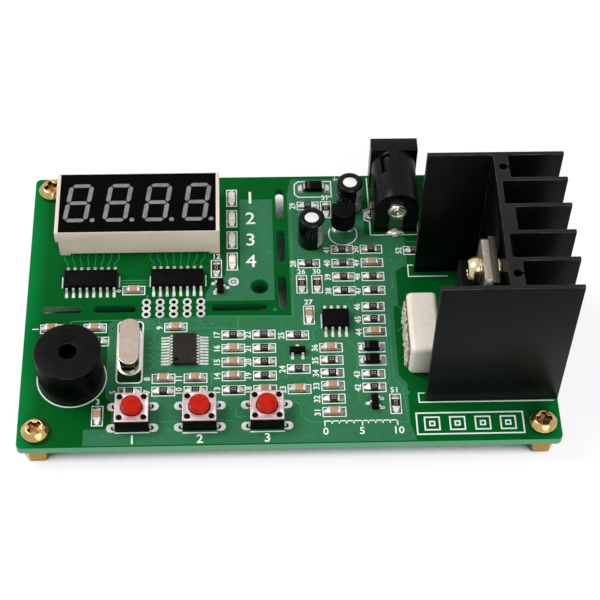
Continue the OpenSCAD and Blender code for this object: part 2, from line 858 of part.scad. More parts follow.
module diode_leads() {
    color("silver")
    on_board() {
        at(power_diode_center) rotate(90)
            lead_rows(1, 0, power_diode_body.y, power_diode_lead, power_diode_reach, power_diode_body.z);
        for (c = signal_diode_centers)
            at(c) rotate(90)
                lead_rows(1, 0, signal_diode_body.y, signal_diode_lead, signal_diode_reach,
                          signal_diode_body.z);
    }
}

module chip_bodies(places, height) {
    on_board() for (p = places)
        at(p) rotate(p.z) block([chip_length - 2 * chip_end, chip_width, height]);
}

module chip_caps(places, height) {
    on_board() for (p = places)
        at(p) rotate(p.z) for (side = [-1, 1])
            translate([side * (chip_length - chip_end) / 2, 0, 0]) block([chip_end, chip_width, height]);
}

module chip_resistors() {
    color("black") chip_bodies(resistor_places, chip_resistor_height);
}

module chip_capacitors() {
    color("tan") chip_bodies(ceramic_places, chip_capacitor_height);
}

module chip_ends() {
    color("silver") {
        chip_caps(resistor_places, chip_resistor_height);
        chip_caps(ceramic_places, chip_capacitor_height);
    }
}

module indicator_bases() {
    color("silver")
    on_board() for (y = indicator_rows)
        at([indicator_x, y]) block([chip_width, chip_length, indicator_base]);
}

module indicator_lenses() {
    color("white")
    on_board() for (y = indicator_rows)
        at([indicator_x, y]) block([chip_width, chip_length - 2 * chip_end, indicator_lens], indicator_base);
}

module crystal_can() {
    color("silver")
    on_board() at(crystal_center, crystal_base_top)
        difference() {
            oblong(crystal_width, crystal_length, crystal_height - crystal_base_top);
            translate([0, 0, -1])
                oblong(crystal_width - 2 * crystal_shell, crystal_length - 2 * crystal_shell,
                       crystal_height - crystal_base_top - crystal_shell + 1);
        }
}

module crystal_header() {
    color("silver")
    on_board() {
        at(crystal_center)
            oblong(crystal_width + 2 * crystal_rim, crystal_length + 2 * crystal_rim, crystal_base_top);
        for (p = crystal_lead_points) round_lead(p, touch, crystal_lead);
    }
}

module crystal_blank() {
    color("lightcyan")
    on_board() at(crystal_center) block([0.3, 0.75 * crystal_length, 2], crystal_base_top);
}

module buzzer_case() {
    outer = buzzer_diameter / 2;
    color("black")
    on_board() at(buzzer_center)
        difference() {
            cylinder(r = outer, h = buzzer_height);
            translate([0, 0, -1])
                cylinder(r = outer - buzzer_wall - buzzer_ledge, h = diaphragm_z + 1 + touch);
            translate([0, 0, -1]) cylinder(r = outer - buzzer_wall, h = buzzer_base_thickness + 1);
            translate([0, 0, diaphragm_z])
                cylinder(r = outer - buzzer_wall, h = buzzer_height - buzzer_top - diaphragm_z);
            cylinder(d = buzzer_hole, h = buzzer_height + 1);
        }
}

module buzzer_base() {
    color("darkslategray")
    on_board() at(buzzer_center) {
        cylinder(r = buzzer_diameter / 2 - buzzer_wall, h = buzzer_base_thickness);
        cylinder(r = buzzer_core, h = diaphragm_z - 0.4);
    }
}

module buzzer_magnet() {
    color("gray")
    on_board() at(buzzer_center, buzzer_base_thickness)
        difference() {
            cylinder(r = buzzer_magnet_radius, h = 2.6);
            translate([0, 0, -1]) cylinder(r = buzzer_coil_radius + 0.4, h = 5);
        }
}

module buzzer_coil() {
    color("peru")
    on_board() at(buzzer_center, buzzer_base_thickness)
        difference() {
            cylinder(r = buzzer_coil_radius, h = 3);
            translate([0, 0, -1]) cylinder(r = buzzer_core, h = 5);
        }
}

module buzzer_diaphragm() {
    color("silver")
    on_board() at(buzzer_center, diaphragm_z)
        cylinder(r = buzzer_diameter / 2 - buzzer_wall - 0.1, h = diaphragm_thickness);
}

module buzzer_leads() {
    color("silver")
    on_board() for (p = buzzer_lead_points) round_lead(p, 0, buzzer_lead);
}

module rivet_places() {
    for (x = [-1, 1], y = [-1, 1])
        translate([x * rivet_spacing / 2, y * rivet_spacing / 2, 0]) children();
}

module switch_bases() {
    color("black")
    on_board() for (c = switch_centers)
        at(c) {
            difference() {
                block([switch_side, switch_side, cover_bottom]);
                translate([0, 0, switch_floor]) cylinder(r = switch_well, h = switch_height);
            }
            rivet_places()
                translate([0, 0, cover_bottom - touch])
                    cylinder(r = rivet_radius, h = switch_cover_thickness + rivet_rise + touch);
        }
}

module switch_covers() {
    color("silver")
    on_board() for (c = switch_centers)
        at(c, cover_bottom)
            difference() {
                block([switch_side, switch_side, switch_cover_thickness]);
                translate([0, 0, -1]) cylinder(d = button_diameter + 2 * button_clearance, h = 3);
                rivet_places() translate([0, 0, -1]) cylinder(r = rivet_radius + rivet_clearance, h = 3);
            }
}

module switch_domes() {
    rim = switch_well - 0.15;
    shoulder = 0.6 * rim;
    rise = dome_crown - switch_floor;
    color("silver")
    on_board() for (c = switch_centers)
        at(c, switch_floor)
            rotate_extrude()
                polygon([
                    [0, rise - dome_sheet], [shoulder, 0.75 * rise - dome_sheet], [rim - 0.1, 0], [rim, 0],
                    [rim, dome_sheet], [shoulder + 0.05, 0.75 * rise], [0, rise]
                ]);
}

module switch_leads() {
    color("silver")
    on_board() for (c = switch_centers, side = [0, 180], y = [-1, 1])
        at(c) rotate(side) translate([0, y * switch_lead_row, 0])
            rotate([90, 0, 0])
                linear_extrude(switch_lead_width, center = true)
                    polygon([
                        [switch_side / 2, 0.6], [switch_lead_x - switch_lead_sheet, 0.6],
                        [switch_lead_x - switch_lead_sheet, lead_bottom], [switch_lead_x, lead_bottom],
                        [switch_lead_x, 0.6 + switch_lead_sheet], [switch_side / 2, 0.6 + switch_lead_sheet]
                    ]);
}

module button(index) {
    stem = switch_cover_thickness + button_rise + button_rest_gap;
    color("red")
    on_board() at(switch_centers[index], button_bottom) {
        cylinder(r = button_nub_radius, h = button_nub + touch);
        translate([0, 0, button_nub]) cylinder(r = button_flange, h = button_flange_height);
        translate([0, 0, button_nub + button_flange_height - touch])
            cylinder(d = button_diameter, h = stem + touch);
    }
}

module left_button() {
    button(0);
}

module middle_button() {
    button(1);
}

module right_button() {
    button(2);
}

// Lies along Y with the socket on the back edge of the board
module along_jack(y, z = jack_axis_z) {
    translate([jack_x, y, z]) rotate([-90, 0, 0]) children();
}

module jack_housing() {
    window = [1.7, 4.4];
    color("black")
    on_board() difference() {
        union() {
            at([jack_x, board_width - jack_flange / 2]) block([jack_width, jack_flange, jack_height]);
            along_jack(jack_rear) cylinder(r = jack_barrel, h = jack_length - touch);
            at([jack_x, board_width - jack_length / 2])
                block([2 * jack_barrel, jack_length, jack_axis_z]);
        }
        along_jack(board_width - jack_depth) cylinder(d = jack_socket, h = jack_depth + 1);
        along_jack(jack_rear - 1) cylinder(d = jack_pin, h = jack_length);
        difference() {
            at([jack_x - 1.9, board_width - jack_flange - 0.6 - window.y / 2])
                block([window.x, window.y, jack_barrel + 1], jack_axis_z + 0.5);
            along_jack(jack_rear) cylinder(d = jack_socket + 0.6, h = jack_length);
        }
        at([jack_x, jack_spring_y])
            block([jack_tail + 0.6, 4.6, jack_socket_bottom + 1.4], -1);
    }
}

module jack_center_pin() {
    tip = board_width - 1;
    color("silver")
    on_board() {
        along_jack(jack_rear_blade_y) cylinder(d = jack_pin, h = tip - jack_rear_blade_y);
        along_jack(jack_rear_blade_y - jack_rivet_height) cylinder(r = jack_rivet, h = jack_rivet_height);
    }
}

module jack_contacts() {
    spring_top = jack_socket_bottom - 0.25;
    side_x = jack_x - jack_width / 2 - jack_contact_sheet / 2;
    color("silver")
    on_board() {
        difference() {
            union() {
                at([jack_x, jack_rear - jack_contact_sheet / 2])
                    block([jack_blade, jack_contact_sheet, jack_axis_z + jack_rivet]);
                at([jack_x, jack_rear - jack_contact_sheet / 2])
                    block([jack_tail, jack_contact_sheet, touch - lead_bottom], lead_bottom);
            }
            along_jack(jack_rear - 2) cylinder(d = jack_pin, h = 4);
        }
        at([jack_x, jack_spring_y]) {
            block([jack_tail, 4, jack_contact_sheet], spring_top - jack_contact_sheet);
            block([jack_tail, jack_contact_sheet, spring_top - lead_bottom], lead_bottom);
        }
        at([side_x, jack_side_y]) {
            block([jack_contact_sheet, jack_tail, 3 - lead_bottom], lead_bottom);
            translate([(jack_width / 2 - jack_barrel) / 2 + jack_contact_sheet / 2, 0, 0])
                block([jack_width / 2 - jack_barrel, jack_tail, jack_contact_sheet], 3 - jack_contact_sheet);
        }
    }
}

module capacitor_cans() {
    can = capacitor_diameter / 2 - sleeve_thickness;
    top = capacitor_height - sleeve_thickness;
    color("lightgray")
    on_board() for (c = capacitor_centers)
        at(c) rotate_extrude()
            polygon([
                [0, capacitor_lift], [can, capacitor_lift], [can, top - can_edge],
                [can - can_edge, top], [0, top]
            ]);
}

module capacitor_sleeves() {
    outer = capacitor_diameter / 2;
    can = outer - sleeve_thickness;
    top = capacitor_height - sleeve_thickness;
    hole = can - sleeve_lip;
    color("black")
    on_board() for (c = capacitor_centers)
        at(c) rotate_extrude()
            polygon([
                [can, 0], [outer, 0], [outer, capacitor_height - sleeve_edge],
                [outer - sleeve_edge, capacitor_height],
                [hole, capacitor_height], [hole, top], [can - can_edge, top], [can, top - can_edge]
            ]);
}

module capacitor_leads() {
    color("silver")
    on_board() for (p = capacitor_lead_points) round_lead(p, capacitor_lift, capacitor_lead);
}

module regulator_body() {
    radius = regulator_width / 2;
    flat = regulator_depth - radius;
    color("black")
    on_board() at(regulator_center, regulator_lift)
        difference() {
            cylinder(r = radius, h = regulator_body_height);
            translate([-radius - 1, flat, -1]) cube([2 * radius + 2, radius + 1, regulator_body_height + 2]);
        }
}

module regulator_leads() {
    color("silver")
    on_board() for (p = regulator_lead_points) round_lead(p, regulator_lift, regulator_lead);
}

module heat_sink() {
    color("#1b1b1d")
    on_board() difference() {
        union() {
            for (i = [0, fin_count - 1])
                translate([sink_left, fin_y(i), 0]) cube([sink_depth, fin_thickness, sink_height]);
            for (i = [1 : fin_count - 2])
                translate([sink_face, fin_y(i), 0])
                    cube([sink_depth - sink_channel, fin_thickness, sink_height]);
            translate([sink_face, sink_front, 0]) cube([web_thickness, sink_width, sink_height]);
            for (i = [0 : 2 : fin_count - 2])
                translate([sink_face, fin_y(i), 0]) cube([pad_thickness, fin_pitch, sink_height]);
        }
        for (p = sink_pin_points) {
            at(p, -1) cylinder(r = sink_pin, h = sink_height + 2);
            translate([p.x, p.y - 0.2, -1]) cube([pad_thickness, 0.4, sink_height + 2]);
        }
        along_stack(sink_face - 1) cylinder(d = tab_bore, h = web_thickness + 2);
    }
}

module heat_sink_pins() {
    color("silver")
    on_board() for (p = sink_pin_points) round_lead(p, sink_pin_grip, 2 * sink_pin);
}

// Lies along X on the axis of the transistor screw
module along_stack(x) {
    translate([x, stack_y, tab_screw_z]) rotate([0, 90, 0]) children();
}

module power_transistor_body() {
    color("dimgray")
    on_board() translate([tab_left - moulding_depth, stack_y - transistor_width / 2, tab_bottom])
        rotate([90, 0, 90])
            linear_extrude(moulding_depth)
                polygon([
                    [side_draft, 0], [transistor_width - side_draft, 0],
                    [transistor_width, transistor_body / 2], [transistor_width - side_draft, transistor_body],
                    [side_draft, transistor_body], [0, transistor_body / 2]
                ]);
}

module power_transistor_tab() {
    chamfer = 0.8;
    color("gainsboro")
    on_board() difference() {
        translate([tab_left, stack_y - transistor_width / 2, tab_bottom])
            rotate([90, 0, 90])
                linear_extrude(tab_thickness)
                    polygon([
                        [0, 0], [transistor_width, 0], [transistor_width, transistor_height - chamfer],
                        [transistor_width - chamfer, transistor_height], [chamfer, transistor_height],
                        [0, transistor_height - chamfer]
                    ]);
        along_stack(tab_left - 1) cylinder(d = tab_bore, h = tab_thickness + 2);
    }
}

module power_transistor_leads() {
    color("silver")
    on_board() for (p = power_lead_points)
        at(p) block([power_lead_sheet, power_lead_width, tab_bottom - lead_bottom], lead_bottom);
}

module spreader_plate() {
    seat_bottom = tab_bottom - 1;
    color("darkgray")
    on_board() difference() {
        union() {
            translate([spreader_left, stack_y - transistor_width / 2, seat_bottom])
                cube([spreader_thickness, transistor_width, tab_top - seat_bottom]);
            translate([spreader_left, stack_y - transistor_width / 2, seat_bottom])
                cube([spreader_thickness + spacer_thickness, transistor_width, spreader_seat]);
        }
        along_stack(spreader_left - 1) cylinder(d = tab_bore, h = spreader_thickness + 2);
    }
}

module tab_fasteners() {
    head_seat = tab_left - spring_washer;
    nut_left = sink_face + web_thickness;
    bore = tab_screw + 2 * thread_clearance;
    color("gold")
    on_board() {
        along_stack(head_seat) rotate([180, 0, 20]) pan_head(tab_screw_head, tab_head_height);
        along_stack(head_seat - touch)
            cylinder(d = tab_screw, h = nut_left + tab_nut_height + 0.4 - head_seat);
        difference() {
            along_stack(head_seat + thread_clearance)
                cylinder(d = 0.92 * tab_screw_head, h = spring_washer - thread_clearance);
            along_stack(head_seat - 1) cylinder(d = bore, h = spring_washer + 2);
        }
        difference() {
            along_stack(spacer_left) cylinder(r = spacer_radius, h = spacer_thickness);
            along_stack(spacer_left - 1) cylinder(d = bore, h = spacer_thickness + 2);
        }
        difference() {
            along_stack(nut_left) cylinder(d = tab_nut_flats / cos(30), h = tab_nut_height, $fn = 6);
            along_stack(nut_left - 1) cylinder(d = bore, h = tab_nut_height + 2);
        }
    }
}

module sense_resistor() {
    inset = [sense_thickness / 2 - sense_round, sense_length / 2 - sense_round];
    color("white")
    on_board() at(sense_center) {
        hull()
            for (x = [-1, 1], y = [-1, 1], z = [sense_round, sense_height - sense_round])
                translate([x * inset.x, y * inset.y, z]) sphere(r = sense_round, $fn = 32);
    }
}

module sense_resistor_leads() {
    color("silver")
    on_board() for (p = sense_lead_points) round_lead(p, 0, sense_lead);
}

module terminal_block() {
    well = cage_side + 2 * cage_clearance;
    back = terminal_center.y + terminal_depth / 2;
    well_front = contact_y - cage_clearance;
    well_back = cage_y + cage_side / 2 + cage_clearance;
    color("forestgreen")
    on_board() difference() {
        at(terminal_center) block([terminal_length, terminal_depth, terminal_height]);
        for (x = terminal_centers) {
            translate([x - well / 2, well_front, cage_well_bottom])
                cube([well, well_back - well_front, cage_well_top - cage_well_bottom]);
            at([x, cage_y], cage_well_top - touch) cylinder(d = clamp_thread + 0.6, h = clamp_neck + 1);
            at([x, cage_y], clamp_head_bottom)
                cylinder(d = clamp_head + 2 * clamp_head_clearance, h = terminal_height);
            translate([x - wire_mouth / 2, cage_y, cage_bottom + cage_floor])
                cube([wire_mouth, back - cage_y + 1, wire_mouth]);
            at([x, contact_y + contact_bar / 2])
                block([terminal_lead + 0.4, contact_bar + 0.4, cage_well_bottom + 2], -1);
        }
    }
}

module terminal_contacts() {
    color("silver")
    on_board() for (x = terminal_centers) {
        translate([x - contact_width / 2, contact_y, contact_bar_z])
            cube([contact_width, cage_y + cage_side / 2 - contact_y, contact_bar]);
        translate([x - contact_width / 2, contact_y, cage_well_bottom])
            cube([contact_width, contact_bar, contact_bar_z - cage_well_bottom + touch]);
        at([x, contact_y + contact_bar / 2])
            block([terminal_lead, contact_bar, cage_well_bottom + touch - lead_bottom], lead_bottom);
    }
}

module clamp_screw(index) {
    color("silver")
    on_board() at([terminal_centers[index], cage_y]) {
        difference() {
            translate([0, 0, clamp_head_bottom]) cylinder(d = clamp_head, h = clamp_head_height);
            block([clamp_head + 1, 0.7, 2], clamp_head_bottom + clamp_head_height - 0.7);
        }
        translate([0, 0, clamp_tip]) cylinder(d = clamp_thread, h = clamp_head_bottom - clamp_tip + touch);
    }
}

module clamp_cage(index) {
    opening = cage_side - 2 * cage_wall;
    color("goldenrod")
    on_board() at([terminal_centers[index], cage_y])
        difference() {
            block([cage_side, cage_side, cage_height], cage_bottom);
            block([opening, cage_side + 2, cage_height - cage_floor - cage_roof], cage_bottom + cage_floor);
            translate([0, 0, cage_bottom + cage_height - cage_roof - 1])
                cylinder(d = clamp_thread + 2 * thread_clearance, h = cage_roof + 2);
        }
}

module left_clamp_screw() {
    clamp_screw(0);
}

module right_clamp_screw() {
    clamp_screw(1);
}

module left_clamp_cage() {
    clamp_cage(0);
}

module right_clamp_cage() {
    clamp_cage(1);
}

circuit_board();
standoffs();
corner_screws();
display_case();
display_face();
display_segments();
display_board();
display_pins();
shift_register_bodies();
controller_body();
op_amp_body();
ic_leads();
transistor_bodies();
transistor_leads();
diode_bodies();
diode_leads();
chip_resistors();
chip_capacitors();
chip_ends();
indicator_bases();
indicator_lenses();
crystal_can();
crystal_header();
crystal_blank();
buzzer_case();
buzzer_base();
buzzer_magnet();
buzzer_coil();
buzzer_diaphragm();
buzzer_leads();
switch_bases();
switch_covers();
switch_domes();
switch_leads();
left_button();
middle_button();
right_button();
jack_housing();
jack_center_pin();
jack_contacts();
capacitor_cans();
capacitor_sleeves();
capacitor_leads();
regulator_body();
regulator_leads();
heat_sink();
heat_sink_pins();
power_transistor_body();
power_transistor_tab();
power_transistor_leads();
spreader_plate();
tab_fasteners();
sense_resistor();
sense_resistor_leads();
terminal_block();
terminal_contacts();
left_clamp_screw();
right_clamp_screw();
left_clamp_cage();
right_clamp_cage();
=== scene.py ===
import math

import bmesh
import bpy
from mathutils import Matrix, Vector, noise


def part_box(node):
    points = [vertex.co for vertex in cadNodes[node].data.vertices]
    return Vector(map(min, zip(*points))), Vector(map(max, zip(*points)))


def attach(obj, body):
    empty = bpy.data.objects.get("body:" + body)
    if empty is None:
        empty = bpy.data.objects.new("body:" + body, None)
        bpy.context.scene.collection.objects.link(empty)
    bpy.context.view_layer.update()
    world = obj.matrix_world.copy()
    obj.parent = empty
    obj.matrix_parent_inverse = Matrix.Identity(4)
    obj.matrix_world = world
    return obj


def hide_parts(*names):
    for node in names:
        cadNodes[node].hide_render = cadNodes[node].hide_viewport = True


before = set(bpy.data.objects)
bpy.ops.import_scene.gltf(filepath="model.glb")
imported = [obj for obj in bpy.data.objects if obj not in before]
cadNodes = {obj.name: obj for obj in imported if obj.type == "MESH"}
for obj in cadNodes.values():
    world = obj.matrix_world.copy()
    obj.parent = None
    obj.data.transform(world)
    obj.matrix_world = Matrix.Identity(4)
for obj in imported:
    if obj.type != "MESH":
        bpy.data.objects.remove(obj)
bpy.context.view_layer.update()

scene = bpy.context.scene
mm = 0.001
sunk = 0.01  # millimetres that a flat piece reaches into what carries it
weld = 0.002  # millimetres within which points are merged
sharpAngle = math.radians(35)

# Pieces are modelled in millimetres from the front left corner of the board's top face
boardLow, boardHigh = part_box("circuit_board")
toFrame = Matrix.Translation((boardLow.x, boardLow.y, boardHigh.z)) @ Matrix.Scale(mm, 4)
toBoard = toFrame.inverted()
boardLength = (boardHigh.x - boardLow.x) / mm
boardWidth = (boardHigh.y - boardLow.y) / mm
under = (boardLow.z - boardHigh.z) / mm  # the board's lower face


def boardBox(node):
    low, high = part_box(node)
    return toBoard @ low, toBoard @ high


def middle(low, high):
    return (low + high) / 2


# A copy of a CAD node's mesh with its loose triangles joined
def mergedCopy(node):
    bm = bmesh.new()
    bm.from_mesh(cadNodes[node].data)
    bmesh.ops.remove_doubles(bm, verts=bm.verts, dist=weld * mm)
    return bm


# The separate solids of a CAD node, each as its points in board millimetres
def solidsOf(node):
    bm = mergedCopy(node)
    solids = [[toBoard @ v.co for v in verts] for verts in connected(bm)]
    bm.free()
    return sorted(solids, key=placeOf)


def placeOf(points):
    low = boxOf(points)[0]
    return round(low.x, 2), round(low.y, 2)


def connected(bm):
    left, groups = set(bm.verts), []
    for first in bm.verts:
        if first not in left:
            continue
        left.remove(first)
        group = [first]
        for vert in group:
            for edge in vert.link_edges:
                other = edge.other_vert(vert)
                if other in left:
                    left.remove(other)
                    group.append(other)
        groups.append(group)
    return groups


def boxOf(points):
    low = Vector([min(p[i] for p in points) for i in range(3)])
    high = Vector([max(p[i] for p in points) for i in range(3)])
    return low, high


def boxesOf(node):
    return [boxOf(points) for points in solidsOf(node)]


def centersOf(node):
    return [middle(*b) for b in boxesOf(node)]


# Where a node's leads come out below the board: how far under it they are looked for, and how far apart
leadEnd = {"below": 0.4, "apart": 1.9}


def leadEnds(node):
    ends = []
    for points in solidsOf(node):
        own = []
        for p in points:
            if p.z > under - leadEnd["below"]:
                continue
            near = [e for e in own if (e[0] / e[1] - p.xy).length < leadEnd["apart"]]
            if near:
                near[0][0] += p.xy
                near[0][1] += 1
            else:
                own.append([p.xy.copy(), 1])
        ends += [total / count for total, count in own]
    return ends


def meshOf(name, bm):
    mesh = bpy.data.meshes.new(name)
    bm.to_mesh(mesh)
    bm.free()
    return mesh


def addObject(name, data):
    made = bpy.data.objects.new(name, data)
    scene.collection.objects.link(made)
    return made


# Mesh helpers: each adds one shape to a bmesh
def absorb(bm, part, matrix=None):
    if matrix is not None:
        bmesh.ops.transform(part, matrix=matrix, verts=part.verts)
    carrier = meshOf("carrier", part)
    bm.from_mesh(carrier)
    bpy.data.meshes.remove(carrier)


def turned(x, y, z=0.0, turn=0.0):
    return Matrix.Translation((x, y, z)) @ Matrix.Rotation(math.radians(turn), 4, "Z")


def roundEdges(part, edges, width, segments=2):
    return bmesh.ops.bevel(part, geom=list(edges), offset=width, offset_type="OFFSET", segments=segments,
                           profile=0.5, affect="EDGES", material=-1, clamp_overlap=True)


def newVerts(result):
    return [g for g in result["geom"] if isinstance(g, bmesh.types.BMVert)]


def faceOut(part):
    bmesh.ops.recalc_face_normals(part, faces=part.faces)


def thicken(part, width):
    faceOut(part)
    bmesh.ops.solidify(part, geom=list(part.faces), thickness=width)
    faceOut(part)


roundest = 0.49  # largest corner radius, as a share of a plate's shorter side


# A flat plate with round upright corners, lying on the board
def addPlate(bm, x, y, width, length, height, corner=0.0, turn=0.0, steps=4):
    part = bmesh.new()
    bmesh.ops.create_cube(part, size=1, matrix=Matrix.Diagonal((width, length, height + sunk, 1)))
    if corner:
        upright = [e for e in part.edges if abs(e.verts[0].co.z - e.verts[1].co.z) > height / 2]
        roundEdges(part, upright, min(corner, roundest * min(width, length)), steps)
    absorb(bm, part, turned(x, y, (height - sunk) / 2, turn))


wedgeDrop = 0.85  # how much of a solder wedge's height is gone at its outer end


# Solder running from a part's end down to the edge of its pad, along +X before the turn
def addWedge(bm, x, y, turn, inner, outer, width, height, taper):
    part = bmesh.new()
    half = (inner + outer) / 2
    bmesh.ops.create_cube(part, size=1, matrix=Matrix.Translation((half, 0, height / 2)) @
                          Matrix.Diagonal((outer - inner, width, height, 1)))
    lip = [v for v in part.verts if v.co.x > half]
    bmesh.ops.scale(part, vec=(1, taper, 1), verts=lip)
    bmesh.ops.translate(part, vec=(0, 0, -wedgeDrop * height), verts=[v for v in lip if v.co.z > height / 2])
    absorb(bm, part, turned(x, y, 0, turn))


# A turned shape: the profile's (radius, height) points spun round an upright line
def addTurned(bm, profile, x, y, z, steps, lean=None):
    part = bmesh.new()
    verts = [part.verts.new((radius, 0, height)) for radius, height in profile]
    edges = [part.edges.new(pair) for pair in zip(verts, verts[1:])]
    bmesh.ops.spin(part, geom=verts + edges, cent=(0, 0, 0), axis=(0, 0, 1), angle=math.tau, steps=steps,
                   use_merge=True, use_duplicate=False)
    bmesh.ops.remove_doubles(part, verts=part.verts, dist=weld)
    faceOut(part)
    place = Matrix.Translation((x, y, z))
    absorb(bm, part, place @ lean if lean is not None else place)


def addRing(bm, x, y, inner, outer, height, steps):
    foot = [(inner, -sunk), (outer, -sunk)]
    addTurned(bm, [*foot, (outer, height), (inner, height), foot[0]], x, y, 0, steps)


# A low wall along a line of points: ink, tracks and outlines
def addLine(bm, points, width, height, closed=False):
    part = bmesh.new()
    verts = [part.verts.new((x, y, -sunk)) for x, y in points]
    pairs = list(zip(verts, verts[1:])) + ([(verts[-1], verts[0])] if closed else [])
    wall = bmesh.ops.extrude_edge_only(part, edges=[part.edges.new(pair) for pair in pairs])
    bmesh.ops.translate(part, vec=(0, 0, height + sunk), verts=newVerts(wall))
    thicken(part, width)
    absorb(bm, part)


# A thin plate of any outline
def addArea(bm, points, height):
    part = bmesh.new()
    face = part.faces.new([part.verts.new((x, y, -sunk)) for x, y in points])
    top = bmesh.ops.extrude_face_region(part, geom=[face])
    bmesh.ops.translate(part, vec=(0, 0, height + sunk), verts=newVerts(top))
    faceOut(part)
    absorb(bm, part)


def arc(x, y, radius, start, end, steps=24):
    angles = [math.radians(start + (end - start) * i / steps) for i in range(steps + 1)]
    return [(x + radius * math.cos(a), y + radius * math.sin(a)) for a in angles]


def rectangle(x, y, width, length, corner=0.0):
    a, b = width / 2 - corner, length / 2 - corner
    corners = [(x + a, y - b), (x + a, y + b), (x - a, y + b), (x - a, y - b)]
    if not corner:
        return corners
    return [p for i, (cx, cy) in enumerate(corners) for p in arc(cx, cy, corner, 90 * i - 90, 90 * i, 5)]


def addNumber(bm, text, x, y, size, height, turn, bold):
    curve = bpy.data.curves.new("number", "FONT")
    curve.body, curve.size, curve.extrude, curve.offset = text, size, (height + sunk) / 2, bold
    curve.align_x, curve.align_y, curve.resolution_u = "CENTER", "CENTER", 2
    holder = bpy.data.objects.new("number", curve)
    mesh = bpy.data.meshes.new_from_object(holder)
    part = bmesh.new()
    part.from_mesh(mesh)
    bmesh.ops.remove_doubles(part, verts=part.verts, dist=weld)
    absorb(bm, part, turned(x, y, (height - sunk) / 2, turn))
    bpy.data.objects.remove(holder)
    bpy.data.curves.remove(curve)
    bpy.data.meshes.remove(mesh)


def dress(name, bm, finish, body):
    mesh = meshOf(name, bm)
    mesh.materials.append(finishes[finish])
    mesh.set_sharp_from_angle(angle=sharpAngle)
    piece = addObject(name, mesh)
    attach(piece, body)
    return piece


def makePiece(name, bm, finish):
    bmesh.ops.transform(bm, matrix=toFrame, verts=bm.verts)
    for face in bm.faces:
        face.smooth = True
    dress(name, bm, finish, "board_assembly")


# A merged copy of a CAD node with its sharp edges rounded, shown in the node's place; recess is the radius of a
# driver recess in the top of each of its solids
softening = {"flat": math.radians(0.5), "curved": 0.005, "recessDepth": (0.2, 1.6), "recessFacing": -0.2}


def soften(node, finish, edge, segments=2, recess=0.0, body="board_assembly"):
    bm = mergedCopy(node)
    bmesh.ops.dissolve_limit(bm, angle_limit=softening["flat"], use_dissolve_boundaries=False, verts=bm.verts,
                             edges=bm.edges, delimit={"NORMAL"})
    # faces are marked for painted light on the rounded edges and painted shade in driver recesses
    bevelled, hollow = bm.faces.layers.float.new("roundedEdge"), bm.faces.layers.float.new("cavity")
    for face in bm.faces:  # curved walls shade smooth, flat faces stay flat
        bends = [e.calc_face_angle(0) for e in face.edges if e.is_manifold]
        face.smooth = any(softening["curved"] < bend < sharpAngle for bend in bends)
    solids = connected(bm)
    heads = [boxOf([v.co for v in verts]) for verts in solids]
    for edges in [{e for v in verts for e in v.link_edges} for verts in solids]:
        corners = [e for e in edges if e.is_manifold and e.calc_face_angle(0) > sharpAngle]
        for face in roundEdges(bm, corners, edge * mm, segments)["faces"]:
            face[bevelled], face.smooth = 1.0, True
    shallow, deep = (depth * mm for depth in softening["recessDepth"])
    for face in bm.faces if recess else []:
        spot = face.calc_center_median()
        for low, high in heads:
            inside = (spot.xy - middle(low, high).xy).length < recess * mm
            if inside and shallow < high.z - spot.z < deep and face.normal.z > softening["recessFacing"]:
                face[hollow] = 1.0
    name = "".join(w if i == 0 else w.capitalize() for i, w in enumerate(node.split("_"))) + "Shown"
    piece = dress(name, bm, finish, body)
    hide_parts(node)


print("frame loaded:", len(cadNodes), "nodes, board", round(boardLength, 2), "x", round(boardWidth, 2), "mm")


# A colour as a picture shows it, turned into the linear values that a shader takes
def tone(red, green, blue):
    def linear(c):
        c /= 255
        return c / 12.92 if c <= 0.04045 else ((c + 0.055) / 1.055) ** 2.4
    return (linear(red), linear(green), linear(blue), 1.0)


# A node with its settings, and its inputs set or linked
def addNode(tree, kind, inputs=None, **settings):
    node = tree.nodes.new("ShaderNode" + kind)
    for label, value in settings.items():
        setattr(node, label, value)
    for label, value in (inputs or {}).items():
        feed(tree, node.inputs[label], value)
    return node.outputs


def feed(tree, socket, value):
    if isinstance(value, bpy.types.NodeSocket):
        tree.links.new(value, socket)
    else:
        socket.default_value = value


def newGroup(name, **inputs):
    tree = bpy.data.node_groups.new(name, "ShaderNodeTree")
    for label, value in inputs.items():
        kind = "NodeSocketVector" if isinstance(value, tuple) else "NodeSocketFloat"
        tree.interface.new_socket(label, in_out="INPUT", socket_type=kind).default_value = value
    return tree, tree.nodes.new("NodeGroupInput").outputs


def endGroup(tree, **outputs):
    for label in outputs:
        tree.interface.new_socket(label, in_out="OUTPUT", socket_type="NodeSocketFloat")
    ending = tree.nodes.new("NodeGroupOutput")
    for label, value in outputs.items():
        feed(tree, ending.inputs[label], value)


def objectPlace(tree):
    return addNode(tree, "TexCoord")["Object"]


def addNoise(tree, scale, detail, vector=None):
    place = objectPlace(tree) if vector is None else vector
    return addNode(tree, "TexNoise", {"Vector": place, "Scale": scale, "Detail": detail})["Fac"]


def addMath(tree, operation, first, second=0.0):
    return addNode(tree, "Math", {0: first, 1: second}, operation=operation)[0]


def spread(tree, source, low, high, start=0.3, end=0.7):
    return addNode(tree, "MapRange", {"Value": source, "From Min": start, "From Max": end, "To Min": low,
                                      "To Max": high})["Result"]


def blendColor(tree, mask, first, second):
    return addNode(tree, "Mix", {0: mask, 6: first, 7: second}, data_type="RGBA")[2]


def blendTones(tree, mask, dark, light):
    return blendColor(tree, spread(tree, mask, 0, 1), tone(*dark), tone(*light))


def addBump(tree, height, depth, strength, shader):
    bump = addNode(tree, "Bump", {"Height": height, "Distance": depth, "Strength": strength})
    feed(tree, shader["Normal"], bump["Normal"])


